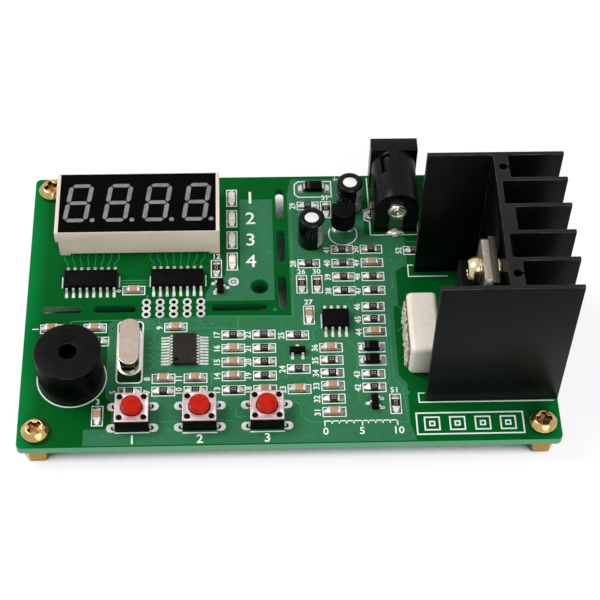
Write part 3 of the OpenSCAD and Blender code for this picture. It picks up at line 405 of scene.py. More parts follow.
# 1 on faces that look up or down, and 0 on walls
def facingUp(tree):
    facing = addNode(tree, "SeparateXYZ", {0: addNode(tree, "NewGeometry")["Normal"]})
    return addMath(tree, "GREATER_THAN", addMath(tree, "ABSOLUTE", facing["Z"]), 0.5)


# A mark on some of a piece's faces, broken up by noise
def brokenMark(tree, mark, size, *levels):
    marked = addNode(tree, "Attribute", attribute_name=mark)["Fac"]
    return addMath(tree, "MULTIPLY", marked, spread(tree, addNoise(tree, size, 3), *levels))


# Fine grain and slow smudges of a moulded, painted or cast surface
grainGroup, given = newGroup("surfaceGrain", Scale=3000.0, Smudge=90.0)
fine, slow = addNoise(grainGroup, given["Scale"], 3), addNoise(grainGroup, given["Smudge"], 4)
shade = addMath(grainGroup, "MULTIPLY", addMath(grainGroup, "ADD", fine, slow), 0.5)
endGroup(grainGroup, Shade=shade, Smudges=slow, Height=fine)

# Drawn or rolled lines of sheet metal and extrusions
drawnGroup, given = newGroup("drawnLines", Stretch=(4000.0, 4000.0, 60.0))
stretched = addNode(drawnGroup, "VectorMath", {0: objectPlace(drawnGroup), 1: given["Stretch"]},
                    operation="MULTIPLY")
endGroup(drawnGroup, Lines=addNoise(drawnGroup, 1.0, 2, stretched[0]))

# Painted highlights on rounded edges, painted shade on the buttons' edges, and painted shade in the driver recesses
# of screws and the pits of the cement
edgeLightGroup, given = newGroup("paintedEdgeLight", Break=500.0)
endGroup(edgeLightGroup, Rub=brokenMark(edgeLightGroup, "roundedEdge", given["Break"], 0.0, 1.0, 0.38, 0.66))
hollowShadeGroup, given = newGroup("recessGrime", Break=900.0)
endGroup(hollowShadeGroup, Grime=brokenMark(hollowShadeGroup, "cavity", given["Break"], 0.7, 1.0))


def newMaterial(name):
    material = bpy.data.materials.new(name)
    material.use_nodes = True
    return material, material.node_tree, material.node_tree.nodes["Principled BSDF"].inputs


finishes = {}
lightDepth = 0.4  # millimetres that light gets into pale plastics


# A finish: two tones mixed by the grain, a band of roughness that the smudges move in, relief, painted light on
# rounded edges and on faces that look up, and painted shade in hollows
def addFinish(name, dark, light, rough=(0.4, 0.5), metal=0.0, grain=2600.0, smudge=120.0, relief=0.004,
              strength=0.3, specular=0.5, lines=None, edgeLight=None, depth=0.0, litTops=None, hollowShade=None):
    finishes[name], tree, shader = newMaterial(name)
    surface = addNode(tree, "Group", {"Scale": grain, "Smudge": smudge}, node_tree=grainGroup)
    mask, height = surface["Shade"], surface["Height"]
    if lines:
        mask = height = addNode(tree, "Group", {"Stretch": lines}, node_tree=drawnGroup)["Lines"]
    color = blendTones(tree, mask, dark, light)
    if litTops:  # faces that look up take lighter tones as painted light from above: the heat sink's fin ends, the crystal can's top, the buzzer's top
        color = blendColor(tree, facingUp(tree), color, blendTones(tree, surface["Shade"], *litTops))
    # rounded edges take a painted highlight colour, and on the buttons painted shade
    if edgeLight:
        color = blendColor(tree, addNode(tree, "Group", node_tree=edgeLightGroup)["Rub"], color, tone(*edgeLight))
    # hollows take a painted shade colour
    if hollowShade:
        color = blendColor(tree, addNode(tree, "Group", node_tree=hollowShadeGroup)["Grime"], color, tone(*hollowShade))
    feed(tree, shader["Base Color"], color)
    feed(tree, shader["Roughness"], spread(tree, surface["Smudges"], *rough))
    addBump(tree, height, relief * mm, strength, shader)
    shader["Metallic"].default_value = metal
    shader["Specular IOR Level"].default_value = specular
    if depth:  # pale plastics let light a little way in
        shader["Subsurface Weight"].default_value = depth
        shader["Subsurface Radius"].default_value = (1, 1, 1)
        shader["Subsurface Scale"].default_value = lightDepth * mm


# Edge colours below are painted highlights on rounded edges, and painted shade on the buttons' edges
sheetX, drawnZ = (260.0, 2600.0, 2600.0), (2200.0, 2200.0, 60.0)
# Hollow colours below are painted shade in screw recesses and cement pits
addFinish("brass", (164, 132, 78), (214, 184, 128), (0.16, 0.3), 1, 900, 200, edgeLight=(240, 224, 184),
          hollowShade=(136, 94, 46))
addFinish("standoffBrass", (150, 110, 50), (190, 146, 76), (0.2, 0.34), 1, 900, 200, edgeLight=(226, 198, 142))
addFinish("paleBrass", (184, 168, 120), (226, 214, 172), (0.2, 0.34), 1, 900, 200, edgeLight=(244, 236, 206))
addFinish("tin", (150, 150, 148), (206, 206, 204), (0.22, 0.36), 1, 1800, 300, 0.008)
# A brighter copy of tin for the circuits' and transistors' leads, as a painted highlight
addFinish("leadTin", (196, 196, 194), (244, 244, 242), (0.28, 0.42), 0.6, 1800, 300, 0.008)
addFinish("solder", (184, 184, 180), (230, 230, 226), (0.2, 0.36), 0.8, 1500, 400, 0.012)
addFinish("chipPad", (92, 100, 92), (140, 148, 140), (0.22, 0.36), 0.9, 1500, 400, 0.012)
addFinish("blade", (128, 132, 126), (156, 160, 154), (0.08, 0.16), 1, 900, 160, 0.002)
addFinish("caseWhite", (206, 192, 176), (224, 212, 198), (0.42, 0.55), 0, 2400, 90, specular=0.2,
          edgeLight=(234, 224, 212), depth=0.15)
addFinish("faceBlack", (2, 2, 1), (5, 4, 3), (0.3, 0.45), 0, 1800, 160, 0.003, specular=0.02)
addFinish("segmentGrey", (106, 104, 105), (136, 134, 135), (0.35, 0.5), 0, 1500, 300, 0.003, specular=0.1)
addFinish("fibre", (44, 92, 52), (70, 122, 74), (0.5, 0.6), 0, 1400, 200, 0.006, specular=0.3)
addFinish("epoxyBlack", (4, 3, 3), (11, 10, 9), (0.45, 0.6), 0, 3400, 260, 0.006, specular=0.04,
          edgeLight=(34, 32, 30))
addFinish("epoxyGrey", (30, 27, 23), (46, 42, 37), (0.45, 0.6), 0, 3400, 260, 0.006, specular=0.06,
          edgeLight=(66, 62, 57))
addFinish("chipBlack", (22, 16, 13), (44, 34, 29), (0.35, 0.5), 0, 2200, 400, specular=0.08, edgeLight=(104, 94, 88))
addFinish("ceramicTan", (148, 116, 92), (184, 150, 124), (0.4, 0.55), 0, 2400, 300, specular=0.2)
addFinish("lampBase", (222, 216, 204), (240, 236, 226), (0.45, 0.6), 0, 2000, 300, specular=0.2)
addFinish("lampLens", (230, 220, 208), (246, 240, 230), (0.2, 0.32), 0, 1500, 300, 0.002, specular=0.2)
# Crystal can: walls darkened as a painted dark reflection of the board, a lighter top as painted light, and a painted
# highlight on its rounded edges
addFinish("canSteel", (84, 77, 64), (122, 113, 98), (0.1, 0.18), 1, 900, 160, 0.002, 0.2, edgeLight=(218, 206, 192),
          litTops=((182, 165, 150), (204, 188, 174)))
addFinish("rimSteel", (200, 188, 178), (236, 226, 218), (0.16, 0.28), 1, 900, 160, 0.003)
# Buzzer: near-black walls as painted shade, a lighter top as painted light, and painted highlights on its rounded
# edges
addFinish("buzzerBlack", (1, 1, 1), (4, 4, 4), (0.3, 0.42), 0, 2600, 140, 0.005, specular=0.05,
          edgeLight=(34, 32, 34), litTops=((10, 9, 10), (20, 18, 19)))
addFinish("steel", (150, 150, 150), (190, 190, 190), (0.25, 0.4), 1, 1500, 200)
addFinish("copper", (170, 90, 50), (208, 124, 76), (0.25, 0.4), 1, 1500, 200)
addFinish("switchBlack", (2, 2, 2), (7, 6, 6), (0.4, 0.55), 0, 2600, 200, specular=0.05, edgeLight=(26, 24, 24))
# Switch covers: the pink tint is a painted reflection of the red buttons
addFinish("coverSteel", (186, 162, 164), (214, 192, 194), (0.3, 0.42), 0.6, 900, 200, 0.003, lines=sheetX,
          edgeLight=(200, 188, 190))
# Buttons: the darker rounded edges are painted shade
addFinish("buttonRed", (150, 14, 2), (192, 32, 10), (0.16, 0.26), 0, 900, 500, specular=0.12, edgeLight=(112, 10, 4))
addFinish("jackBlack", (5, 5, 5), (13, 12, 12), (0.24, 0.36), 0, 2800, 130, specular=0.12, edgeLight=(40, 38, 38))
addFinish("canAluminium", (228, 228, 226), (248, 248, 246), (0.25, 0.4), 1, 1200, 300, 0.003)
addFinish("sleeveBlack", (2, 2, 2), (8, 8, 7), (0.12, 0.24), 0, 1400, 260, 0.006, specular=0.16)
addFinish("sleeveGrey", (18, 20, 18), (168, 172, 166), (0.2, 0.3), 0, 1500, 900, specular=0.16)
# Heat sink: lighter fin tops and edges are painted light from above
addFinish("anodised", (2, 2, 3), (6, 6, 7), (0.3, 0.42), 0, 2400, 70, specular=0.1, lines=drawnZ,
          edgeLight=(66, 63, 64), litTops=((26, 25, 26), (34, 33, 34)))
addFinish("tabTin", (136, 128, 120), (172, 162, 152), (0.3, 0.44), 1, 1200, 200, lines=drawnZ)
addFinish("spreader", (58, 52, 46), (82, 75, 66), (0.35, 0.5), 0.8, 1200, 200, lines=drawnZ)
addFinish("ceramicWhite", (226, 216, 202), (243, 235, 223), (0.5, 0.66), 0, 1300, 110, 0.02, 0.4, specular=0.15)
addFinish("cement", (150, 140, 122), (226, 218, 202), (0.8, 0.95), 0, 1500, 700, 0.05, 0.6, specular=0.05,
          hollowShade=(40, 36, 28))
addFinish("terminalGreen", (18, 92, 52), (28, 116, 68), (0.38, 0.5), 0, 2600, 120, specular=0.2,
          edgeLight=(48, 140, 88))
addFinish("clampBrass", (176, 164, 126), (208, 196, 156), (0.26, 0.4), 1, 1200, 200, edgeLight=(232, 224, 196),
          hollowShade=(112, 100, 70))
addFinish("quartz", (200, 204, 206), (224, 228, 230), (0.1, 0.2), 0, 900, 200, 0.002)
addFinish("ink", (206, 216, 208), (238, 244, 238), (0.55, 0.7), 0, 5200, 500, 0.006, 0.4, specular=0.1)
addFinish("markGrey", (132, 128, 120), (168, 164, 156), (0.5, 0.6), 0, 5200, 500, specular=0.1)
addFinish("bandGrey", (40, 36, 33), (60, 56, 52), (0.5, 0.6), 0, 5200, 500, 0.006, specular=0.1)
addFinish("track", (36, 116, 70), (58, 138, 92), (0.3, 0.42), 0, 1600, 200, specular=0.1)
addFinish("pourMask", (38, 97, 63), (48, 112, 75), (0.3, 0.42), 0, 900, 60, 0.006, specular=0.1)
addFinish("barrelDark", (6, 9, 7), (18, 22, 18), (0.4, 0.6), 0.4, 1500, 300, specular=0.05)
addFinish("padMask", (0, 40, 16), (3, 54, 25), (0.3, 0.42), 0, 900, 120, 0.006, specular=0.05)
print("finishes made:", len(finishes))

# Board: green mask with a faint weave, painted brighter at its two ends as painted light coming through the board,
# and pale cut edges
board = {"bare": (0, 73, 22), "bareLight": (3, 86, 33), "rim": (0, 116, 52), "rimWidth": 3.4,
         "edge": (92, 150, 114), "edgeDepth": 1.0, "wall": (10, 92, 48), "wallPaintedLight": (108, 146, 108),
         "wallFade": (4, 13), "grain": 700.0, "smudge": 40.0, "weave": 1400, "bend": 1.5, "relief": 0.002,
         "strength": 0.15, "rough": (0.3, 0.42), "specular": 0.04}


def makeBoardMask():
    finishes["boardMask"], tree, shader = newMaterial("boardMask")
    surface = addNode(tree, "Group", {"Scale": board["grain"], "Smudge": board["smudge"]}, node_tree=grainGroup)
    place = addNode(tree, "SeparateXYZ", {0: objectPlace(tree)})
    aside = {axis: addMath(tree, "ABSOLUTE", place[axis]) for axis in "XY"}
    # the bands at the board's two ends are painted light coming through it
    rim = spread(tree, aside["X"], 0, 1, boardHigh.x - board["rimWidth"] * mm, boardHigh.x)
    bare = blendTones(tree, surface["Smudges"], board["bare"], board["bareLight"])
    top = blendColor(tree, rim, bare, tone(*board["rim"]))
    # slot walls are green, painted paler towards the left end as painted light coming through the board, and the
    # outer edge shows the cut laminate
    near = spread(tree, place["X"], 1, 0, *[boardLow.x + d * mm for d in board["wallFade"]])
    wall = blendColor(tree, near, tone(*board["wall"]), tone(*board["wallPaintedLight"]))
    outside = [addMath(tree, "GREATER_THAN", aside[axis], (span / 2 - board["edgeDepth"]) * mm)
               for axis, span in (("X", boardLength), ("Y", boardWidth))]
    cut = blendColor(tree, addMath(tree, "MAXIMUM", *outside), wall, tone(*board["edge"]))
    feed(tree, shader["Base Color"], blendColor(tree, facingUp(tree), cut, top))
    weave = addNode(tree, "TexWave", {"Vector": objectPlace(tree), "Scale": board["weave"],
                                      "Distortion": board["bend"]})
    addBump(tree, weave["Fac"], board["relief"] * mm, board["strength"], shader)
    feed(tree, shader["Roughness"], spread(tree, surface["Smudges"], *board["rough"]))
    shader["Specular IOR Level"].default_value = board["specular"]


makeBoardMask()

# Copper under the mask: broad pours with cut corners, as outlines in board millimetres
roundHole = (43.6, 34.8, 1.75)
pour = {
    "height": 0.02,
    "outlines": [
        [(40, 56.2), (46.4, 56.2), (46.4, 34.8), *arc(*roundHole, 0, 180), (34.1, 34.8), (34.9, 36.8), (37.2, 37.4),
         (37.2, 39.2), (40, 39.2)],  # beside the display, behind the round hole
        [(46.4, 34.8), (46.4, 31.6), (33.4, 31.6), (33.4, 33), (34.1, 34.8), *arc(*roundHole, 180, 360)],
        [(49.4, 57.6), (50.2, 61.2), (64.2, 61.2), (64.2, 47), (71.9, 46.2), (71.9, 39.6), (69.6, 38), (69.6, 30.2),
         (68.6, 29.4), (68.6, 14.2), (70, 12.4), (70, 4), (71, 0.25), (11.7, 0.25), (11.7, 3.7), (16.6, 3.7),
         (16.6, 9.3), (15.4, 10.4), (15.4, 26.6), (16.4, 27.6), (33.8, 28.2), (49.4, 28)],  # control circuit
        [(77.2, 60.9), (76.4, 60.1), (76.4, 41), (77.4, 40), (95.4, 40), (96.2, 40.8), (96.2, 52.6), (92.6, 54.2),
         (91.4, 56), (91.4, 60.1), (90.6, 60.9)],  # load terminals
    ],
}


def addPours(bm):
    for outline in pour["outlines"]:
        addArea(bm, outline, pour["height"])


bm = bmesh.new()
addPours(bm)
makePiece("groundPour", bm, "pourMask")

# Tracks: pale lines under the mask
tracks = {
    "width": 0.22, "height": 0.03, "via": (0.14, 0.34),
    "lines": [
        [(7.9, 26.6), (8.7, 27.45), (16.2, 27.6), (22.5, 27.6), (23.5, 26.6)],
        [(34.1, 28), (49.8, 27.7), (50, 32.7), (50.1, 45.9), (50, 56)],
        [(16, 25.5), (33, 25.3), (39.6, 25.1), (39.6, 27.9)],
        [(68.7, 29.4), (67.7, 28), (67.7, 13.6), (69.3, 11.6), (69.8, 4), (52.1, 4.4), (50.5, 5.6), (50.4, 7.6),
         (50, 8.5), (48.9, 8.7), (48.2, 8), (48, 6.6), (47.2, 5.7), (38.7, 5.7), (38.7, 7.6)],
        [(23.6, 5.2), (29.2, 5.2)], [(35.6, 5.2), (38.3, 5.2)], [(36.5, 10), (51.5, 10.2), (52.6, 11.2)],
        *[[(17, y), (22.9, y)] for y in (35.6, 36.2, 36.8)],
        *[[(22.6, y), (25.6, y)] for y in (19.6, 21, 22.2)],
        [(23, 16.2), (23.8, 17.4), (23.8, 24), (24.6, 24.8)], [(23, 18.2), (25.6, 18.2)], [(33.7, 18.4), (36, 18.4)],
        [(33.7, 20.6), (36, 20.6)], [(33.7, 22.4), (35, 23.8)], [(34.6, 15.6), (34.6, 12.4)],
        [(47.6, 25.6), (47.6, 22.6), (46.8, 21.8)],
        [(52.2, 20.6), (53.4, 22.2), (53.4, 24.4), (54.6, 25.4)], [(59.4, 22.6), (61.2, 20.4), (61.2, 9.4)],
        [(60.4, 29.8), (60.4, 31.4), (61.8, 32.4), (61.8, 44.4)], [(56.6, 38.6), (56.6, 44.8), (57.6, 46)],
        [(68.1, 33.4), (68.9, 34.4), (68.9, 38.4), (71.2, 41)], [(66.4, 12.2), (67, 13.2), (67, 26.4)],
        [(69, 24), (70.2, 25.4), (71.4, 25.4)], [(68.4, 31), (70.2, 29.2), (71.6, 29.2)],
        [(72.2, 44.9), (76.2, 45.2), (76.2, 47.6)], [(50.8, 38), (50.8, 34.2)], [(52.4, 25.6), (50.9, 27.2)],
    ],
    "vias": [(8, 26.4), (16.2, 25.4), (23.6, 26.5), (34.6, 26.4), (39.7, 24.9), (47.8, 26.2), (52.4, 31.2),
             (60.3, 31.2), (62.2, 45.1), (68.9, 40.6), (71.4, 32.4), (70.4, 20), (70, 10.4), (61.2, 9), (54.2, 9.6),
             (47.9, 14.4), (41.4, 12.6), (36, 15.2), (24.4, 10.2), (28.4, 14.4), (34.2, 7.2), (46.4, 29.4),
             (42.1, 54.2), (45.6, 43.2), (56.2, 46.4), (63.2, 41.4), (48.2, 4.2), (27, 3.4), (15, 2.2), (66.4, 33.2)],
}
bm = bmesh.new()
for line in tracks["lines"]:
    addLine(bm, line, tracks["width"], tracks["height"])

# From the rear leads of each register they fan in under the display
fan = {"leads": 8, "pitch": 1.27, "spread": 0.22, "rows": (40.2, 40.9, 41.9, 43.4), "width": 0.14}
registers = centersOf("shift_register_bodies")
for center in registers:
    for i in range(fan["leads"]):
        step = i - (fan["leads"] - 1) / 2
        x = center.x + step * fan["pitch"]
        end = x + step * fan["spread"]
        addLine(bm, zip((x, x, end, end), fan["rows"]), fan["width"], tracks["height"])

# Wire links: three plated holes in a row, with a short track at each end
links = {"first": 22.35, "pitch": 2.54, "count": 5, "y": 30.1, "step": 1.4, "ring": (0.43, 0.84), "overlap": 0.004,
         "barrel": (0.41, 0.449), "barrelTop": 0.02, "rear": (32.5, 33.2), "rearWidth": 0.3,
         "front": (27.7, 26.8, 26), "frontShift": 0.7, "frontWidth": 0.2}
linkColumns = [links["first"] + links["pitch"] * i for i in range(links["count"])]
for x in linkColumns:
    addLine(bm, [(x, y) for y in links["rear"]], links["rearWidth"], tracks["height"])
    addLine(bm, zip((x, x, x + links["frontShift"]), links["front"]), links["frontWidth"], tracks["height"])
for x, y in tracks["vias"]:
    addRing(bm, x, y, *tracks["via"], tracks["height"], 10)
makePiece("boardTracks", bm, "track")
print("board, pours and tracks done")

# Flat layers on the board, in the order that they cover each other
fieldHeight, inkHeight, padHeight, holeHeight = 0.026, 0.04, 0.045, 0.055

# Chips: pads, solder wedges, a dark field in the mask, an ink box and a plain number beside each
chip = {"pad": (1.05, 1.3), "padReach": 1.38, "padCorner": 0.12, "wedge": (0.95, 1.88), "wedgeWidth": 1.25,
        "taper": 0.35, "solderRise": 0.85, "box": (4.3, 2.1), "ink": 0.19, "number": 1.6, "numberReach": 2.95,
        "bold": 0.03}
lampMark = {"solder": 0.4, "shift": (3.6, -0.1), "number": 4.2}
chipEnds = centersOf("chip_ends")
padBm, chipPadBm, wedgeBm, fieldBm, inkBm = (bmesh.new() for i in range(5))


def chipTurn(center):
    ends = sorted(chipEnds, key=lambda e: (e.xy - center.xy).length)[:2]
    run = ends[1].xy - ends[0].xy
    return 0 if abs(run.x) > abs(run.y) else 90


def mountChip(center, high, turn):
    addPlate(fieldBm, center.x, center.y, *chip["box"], fieldHeight, turn=turn)
    width, length = chip["box"] if turn == 0 else chip["box"][::-1]
    addLine(inkBm, rectangle(center.x, center.y, width, length), chip["ink"], inkHeight, True)
    for side in (0, 180):
        spot = turned(center.x, center.y, 0, turn + side) @ Vector((chip["padReach"], 0, 0))
        addPlate(chipPadBm, spot.x, spot.y, *chip["pad"], padHeight, chip["padCorner"], turn, 1)
        addWedge(wedgeBm, center.x, center.y, turn + side, *chip["wedge"], chip["wedgeWidth"], high, chip["taper"])


chipCenters = [(middle(*b), b[1].z) for node in ("chip_resistors", "chip_capacitors") for b in boxesOf(node)]
chipCenters.sort(key=lambda c: (round(c[0].x), c[0].y))
for count, (center, high) in enumerate(chipCenters, 1):
    turn = chipTurn(center)
    mountChip(center, chip["solderRise"] * high, turn)
    dx, dy = (-chip["numberReach"], 0) if turn == 0 else (0, chip["numberReach"])
    addNumber(inkBm, str(count), center.x + dx, center.y + dy, chip["number"], inkHeight, 90 - turn,
              chip["bold"])
lampCenters = sorted(centersOf("indicator_bases"), key=lambda c: -c.y)
for count, center in enumerate(lampCenters, 1):
    mountChip(center, lampMark["solder"], 90)
    dx, dy = lampMark["shift"]
    addNumber(inkBm, str(count), center.x + dx, center.y + dy, lampMark["number"], inkHeight, 0, chip["bold"])
print("chips mounted:", len(chipCenters), "and", len(lampCenters), "lamps")

# Circuits, small transistors and diodes: a pad under each foot, wider by grow and reaching out past it
feet = {"ic_leads": {"grow": 0.16, "reach": 0.6, "solder": 0.14},
        "transistor_leads": {"grow": 0.2, "reach": 0.45, "solder": 0.14},
        "diode_leads": {"grow": 0.85, "reach": 0.6, "solder": 0.4}}
footPad = {"share": 0.75, "corner": 0.1, "overlap": 0.12, "wedgeReach": 0.75, "wedgeWidth": 0.8, "taper": 0.6}
fineLead = {"width": 0.35, "reach": 1.15, "slim": 0.3, "square": 0.25}
bodyNodes = ("shift_register_bodies", "controller_body", "op_amp_body", "transistor_bodies", "diode_bodies")
bodies = [center for node in bodyNodes for center in centersOf(node)]
for node, foot in feet.items():
    isDiode = node == "diode_leads"
    for low, high in boxesOf(node):
        center, size = middle(low, high), high - low
        body = min(bodies, key=lambda b: (b.xy - center.xy).length)
        away = center.xy - body.xy
        unclear = size.x < fineLead["slim"] or abs(size.x - size.y) < fineLead["square"]
        alongX = abs(away.x) > abs(away.y) if unclear or isDiode else size.x > size.y
        span, width = (size.x, size.y) if alongX else (size.y, size.x)
        turn = (0 if alongX else 90) + (0 if (away.x if alongX else away.y) > 0 else 180)
        reach = fineLead["reach"] if width < fineLead["width"] else foot["reach"]
        long, wide = footPad["share"] * span + reach, width + foot["grow"]
        spot = turned(center.x, center.y, 0, turn) @ Vector((span / 2 + reach - long / 2, 0, 0))
        addPlate(chipPadBm if isDiode else padBm, spot.x, spot.y, long, wide, padHeight, footPad["corner"],
                 turn, 1)
        addWedge(wedgeBm, center.x, center.y, turn, span / 2 - footPad["overlap"],
                 span / 2 + footPad["wedgeReach"] * reach, footPad["wedgeWidth"] * wide, foot["solder"],
                 footPad["taper"])

# Through-hole pads on both faces, with solder drawn up round each lead underneath
holes = {"display_pins": 0.85, "crystal_header": 0.9, "buzzer_leads": 1.0, "jack_contacts": 1.15,
         "capacitor_leads": 0.9, "regulator_leads": 0.8, "heat_sink_pins": 1.5, "power_transistor_leads": 1.1,
         "sense_resistor_leads": 1.2, "terminal_contacts": 1.4, "switch_leads": 1.0}
noTopPad = ("switch_leads", "display_pins", "crystal_header", "buzzer_leads")
joint = {"pad": 0.045, "field": 0.033, "fieldGrow": 0.35, "bore": 0.3,
         "solder": [(0, 0), (0.88, 0), (0.86, 0.1), (0.55, 0.4), (0.36, 0.95), (0, 1.05)]}
underPads, underFields, underSolder, topSolder = (bmesh.new() for i in range(4))


def addUnderDisc(bm, spot, reach, drop):
    disc = [(0, under + sunk), (reach, under + sunk), (reach, under - drop), (0, under - drop)]
    addTurned(bm, disc, spot.x, spot.y, 0, 20)


for node, radius in holes.items():
    for spot in leadEnds(node):
        addUnderDisc(underPads, spot, radius, joint["pad"])
        addUnderDisc(underFields, spot, radius + joint["fieldGrow"], joint["field"])
        cone = [(share * radius, under - drop) for share, drop in joint["solder"]]
        addTurned(underSolder, cone, spot.x, spot.y, 0, 16)
        if node not in noTopPad:
            addRing(padBm, spot.x, spot.y, joint["bore"] * radius, radius, padHeight, 20)

# Copper below the board: the same pours, fine tracks and broad load tracks
below = {
    "height": 0.038, "fine": 0.32, "broad": 2.2,
    "fineLines": [
        *[[(14.6 + 2.54 * i, 45.2), (14.6 + 2.54 * i, 40.2 + 0.6 * i), (x, 33.4 + 0.4 * i), (x, 31.6)]
          for i, x in enumerate(linkColumns)],
        [(14.6, 55.3), (14.6, 58.6), (8, 58.6), (5.2, 55.8), (5.2, 34)], [(27.3, 55.3), (29.3, 53.3), (38.4, 53.3)],
        [(17.1, 55.3), (17.1, 59.4), (7.6, 59.4), (4.4, 56.2), (4.4, 34)], [(22.2, 55.3), (22.2, 59.6), (38.6, 59.6)],
        [(24.7, 55.3), (24.7, 57.6), (25.9, 58.8), (39, 58.8)], [(22.35, 28.7), (22.35, 25.4), (19.6, 22.7)],
        *[[(x, 28.7), (x, 20 + 2 * i), (end, 14 - i), (end, 8.3)]
          for i, (x, end) in enumerate(zip(linkColumns[1:], (29.2, 35.7, 41.2, 47.7)))],
        [(12.5, 14.7), (14.6, 12.6), (17.2, 10.4), (17.2, 8.3)], [(19.6, 17.9), (22, 15.4), (26.4, 15.4)],
        [(17.2, 3.8), (47.7, 3.8), (56, 12), (56, 36), (54.7, 45.7)], [(54.7, 45.7), (56, 47.4), (58.7, 48.4)],
        [(60, 48.4), (60.4, 54.3)], [(61.2, 48.4), (63.4, 50.6), (62.4, 54.3)], [(62.4, 54.3), (65.5, 52)],
    ],
    "broadLines": [[(81.5, 52.1), (81.5, 46), (73.1, 37.6), (73.1, 25.3)], [(70.1, 47.5), (70.1, 53.8)],
                   [(86.5, 52.1), (86.5, 44), (79.2, 36.7), (79.2, 20.2)]],
}
pourBelow, linesBelow = bmesh.new(), bmesh.new()
addPours(pourBelow)
for kind in ("fine", "broad"):
    for line in below[kind + "Lines"]:
        addLine(linesBelow, line, below[kind], below["height"])
for sheet, height in ((pourBelow, pour["height"]), (linesBelow, below["height"])):
    bmesh.ops.translate(sheet, vec=(0, 0, under - height + sunk), verts=sheet.verts)
makePiece("underPour", pourBelow, "pourMask")
makePiece("underTracks", linesBelow, "track")
makePiece("underFields", underFields, "padMask")

# Solder run along the foot of the jack's rear blade
bladeSolder = {"profile": [(0, -sunk), (1.8, -sunk), (1.75, 0.12), (1.35, 0.42), (0.8, 0.6), (0, 0.64)],
               "squeeze": 0.42}
jackPin = boardBox("jack_center_pin")
jackMiddle = middle(*jackPin)
addTurned(topSolder, bladeSolder["profile"], jackMiddle.x, boardBox("jack_contacts")[0].y, 0, 28,
          Matrix.Diagonal((1, bladeSolder["squeeze"], 1, 1)))

# Switch pads: long ovals beside each body, with the lead standing in a ring
switches = {"pad": (2.0, 1.75), "corner": 0.8, "reach": 3.62, "hole": (1.15, 1.0), "holeCorner": 0.5}
switchCenters = centersOf("switch_covers")
for spot in leadEnds("switch_leads"):
    center = min(switchCenters, key=lambda c: (c.xy - spot).length)
    x = center.x + math.copysign(switches["reach"], spot.x - center.x)
    addPlate(padBm, x, spot.y, *switches["pad"], padHeight, switches["corner"])
    addPlate(fieldBm, spot.x, spot.y, *switches["hole"], holeHeight, switches["holeCorner"])

# The links' rings run together, and their barrels are dark as painted shade inside the holes
barrels = bmesh.new()
(bore, wall), rim = links["barrel"], links["barrelTop"]
for x in linkColumns:
    for j in (-1, 0, 1):
        y = links["y"] + j * links["step"]
        addRing(padBm, x, y, *links["ring"], padHeight + links["overlap"] * j, 20)
        addTurned(barrels, [(bore, under), (wall, under), (wall, rim), (bore, rim), (bore, under)], x, y, 0, 20)
makePiece("linkBarrels", barrels, "barrelDark")

# A lone pad beside the display, and the dark field that the crystal lies on, a painted shadow of the crystal
lonePad = {"place": (38.7, 36.05), "size": (2.0, 1.9), "corner": 0.85, "hole": (0.32, 0.5)}
addPlate(padBm, *lonePad["place"], *lonePad["size"], padHeight, lonePad["corner"])
addRing(fieldBm, *lonePad["place"], *lonePad["hole"], holeHeight, 16)
crystalField = (middle(*boardBox("crystal_can")).x - 0.05, 20.25, 4.9, 13.9)  # place and size
crystalCorner = 0.9
addPlate(fieldBm, *crystalField, fieldHeight, crystalCorner)

makePiece("topPads", padBm, "solder")
makePiece("chipPads", chipPadBm, "chipPad")
makePiece("solderWedges", wedgeBm, "solder")
makePiece("padFields", fieldBm, "padMask")
makePiece("underPads", underPads, "solder")
makePiece("underSolder", underSolder, "solder")
makePiece("topSolder", topSolder, "solder")
print("pads and solder done")

# Ink outlines, scales and plain numbers
ink = {
    "line": 0.22, "bold": 0.27, "registerEnd": (5.25, 1.3), "opAmpEnd": (-2.75, 1.6),
    "buzzer": 6.36, "switchFront": (3.1, 3.35), "terminalGap": 0.9, "smallDiode": (5.0, 2.25), "smallLength": 3,
    "regulator": {"back": 0.5, "radius": 2.85, "ends": (150, 390)},
    "switchNumber": {"y": 1.3, "size": 2.5, "bold": 0.04},
    "diodeBox": [(51.6, 56.5), (58.25, 56.5), (58.25, 60.7), (51.6, 60.7), (50.8, 59.9), (50.8, 57.3)],
    "plus": [[(58.6, 61.2), (59.6, 61.2)], [(59.1, 60.75), (59.1, 61.65)]],
    "jack": [(65.2, 61.4), (65.2, 53.6), (64.2, 53.2), (64.2, 50.6), (65.2, 50.2), (65.2, 46.75), (74.7, 46.75),
             (74.7, 61.4)],
    "heatSink": [[(73, 39.3), (72.1, 39.3), (72.1, 36.8), (79.5, 36.8)],
                 [(73, 10.1), (72, 10.1), (72, 8.35), (96.3, 8.3)]],
}


def draw(points, closed=False, width=ink["line"]):
    addLine(inkBm, points, width, inkHeight, closed)


def drawEnd(center, aside, reach):
    draw([(center.x + aside, center.y - reach), (center.x + aside, center.y + reach)])


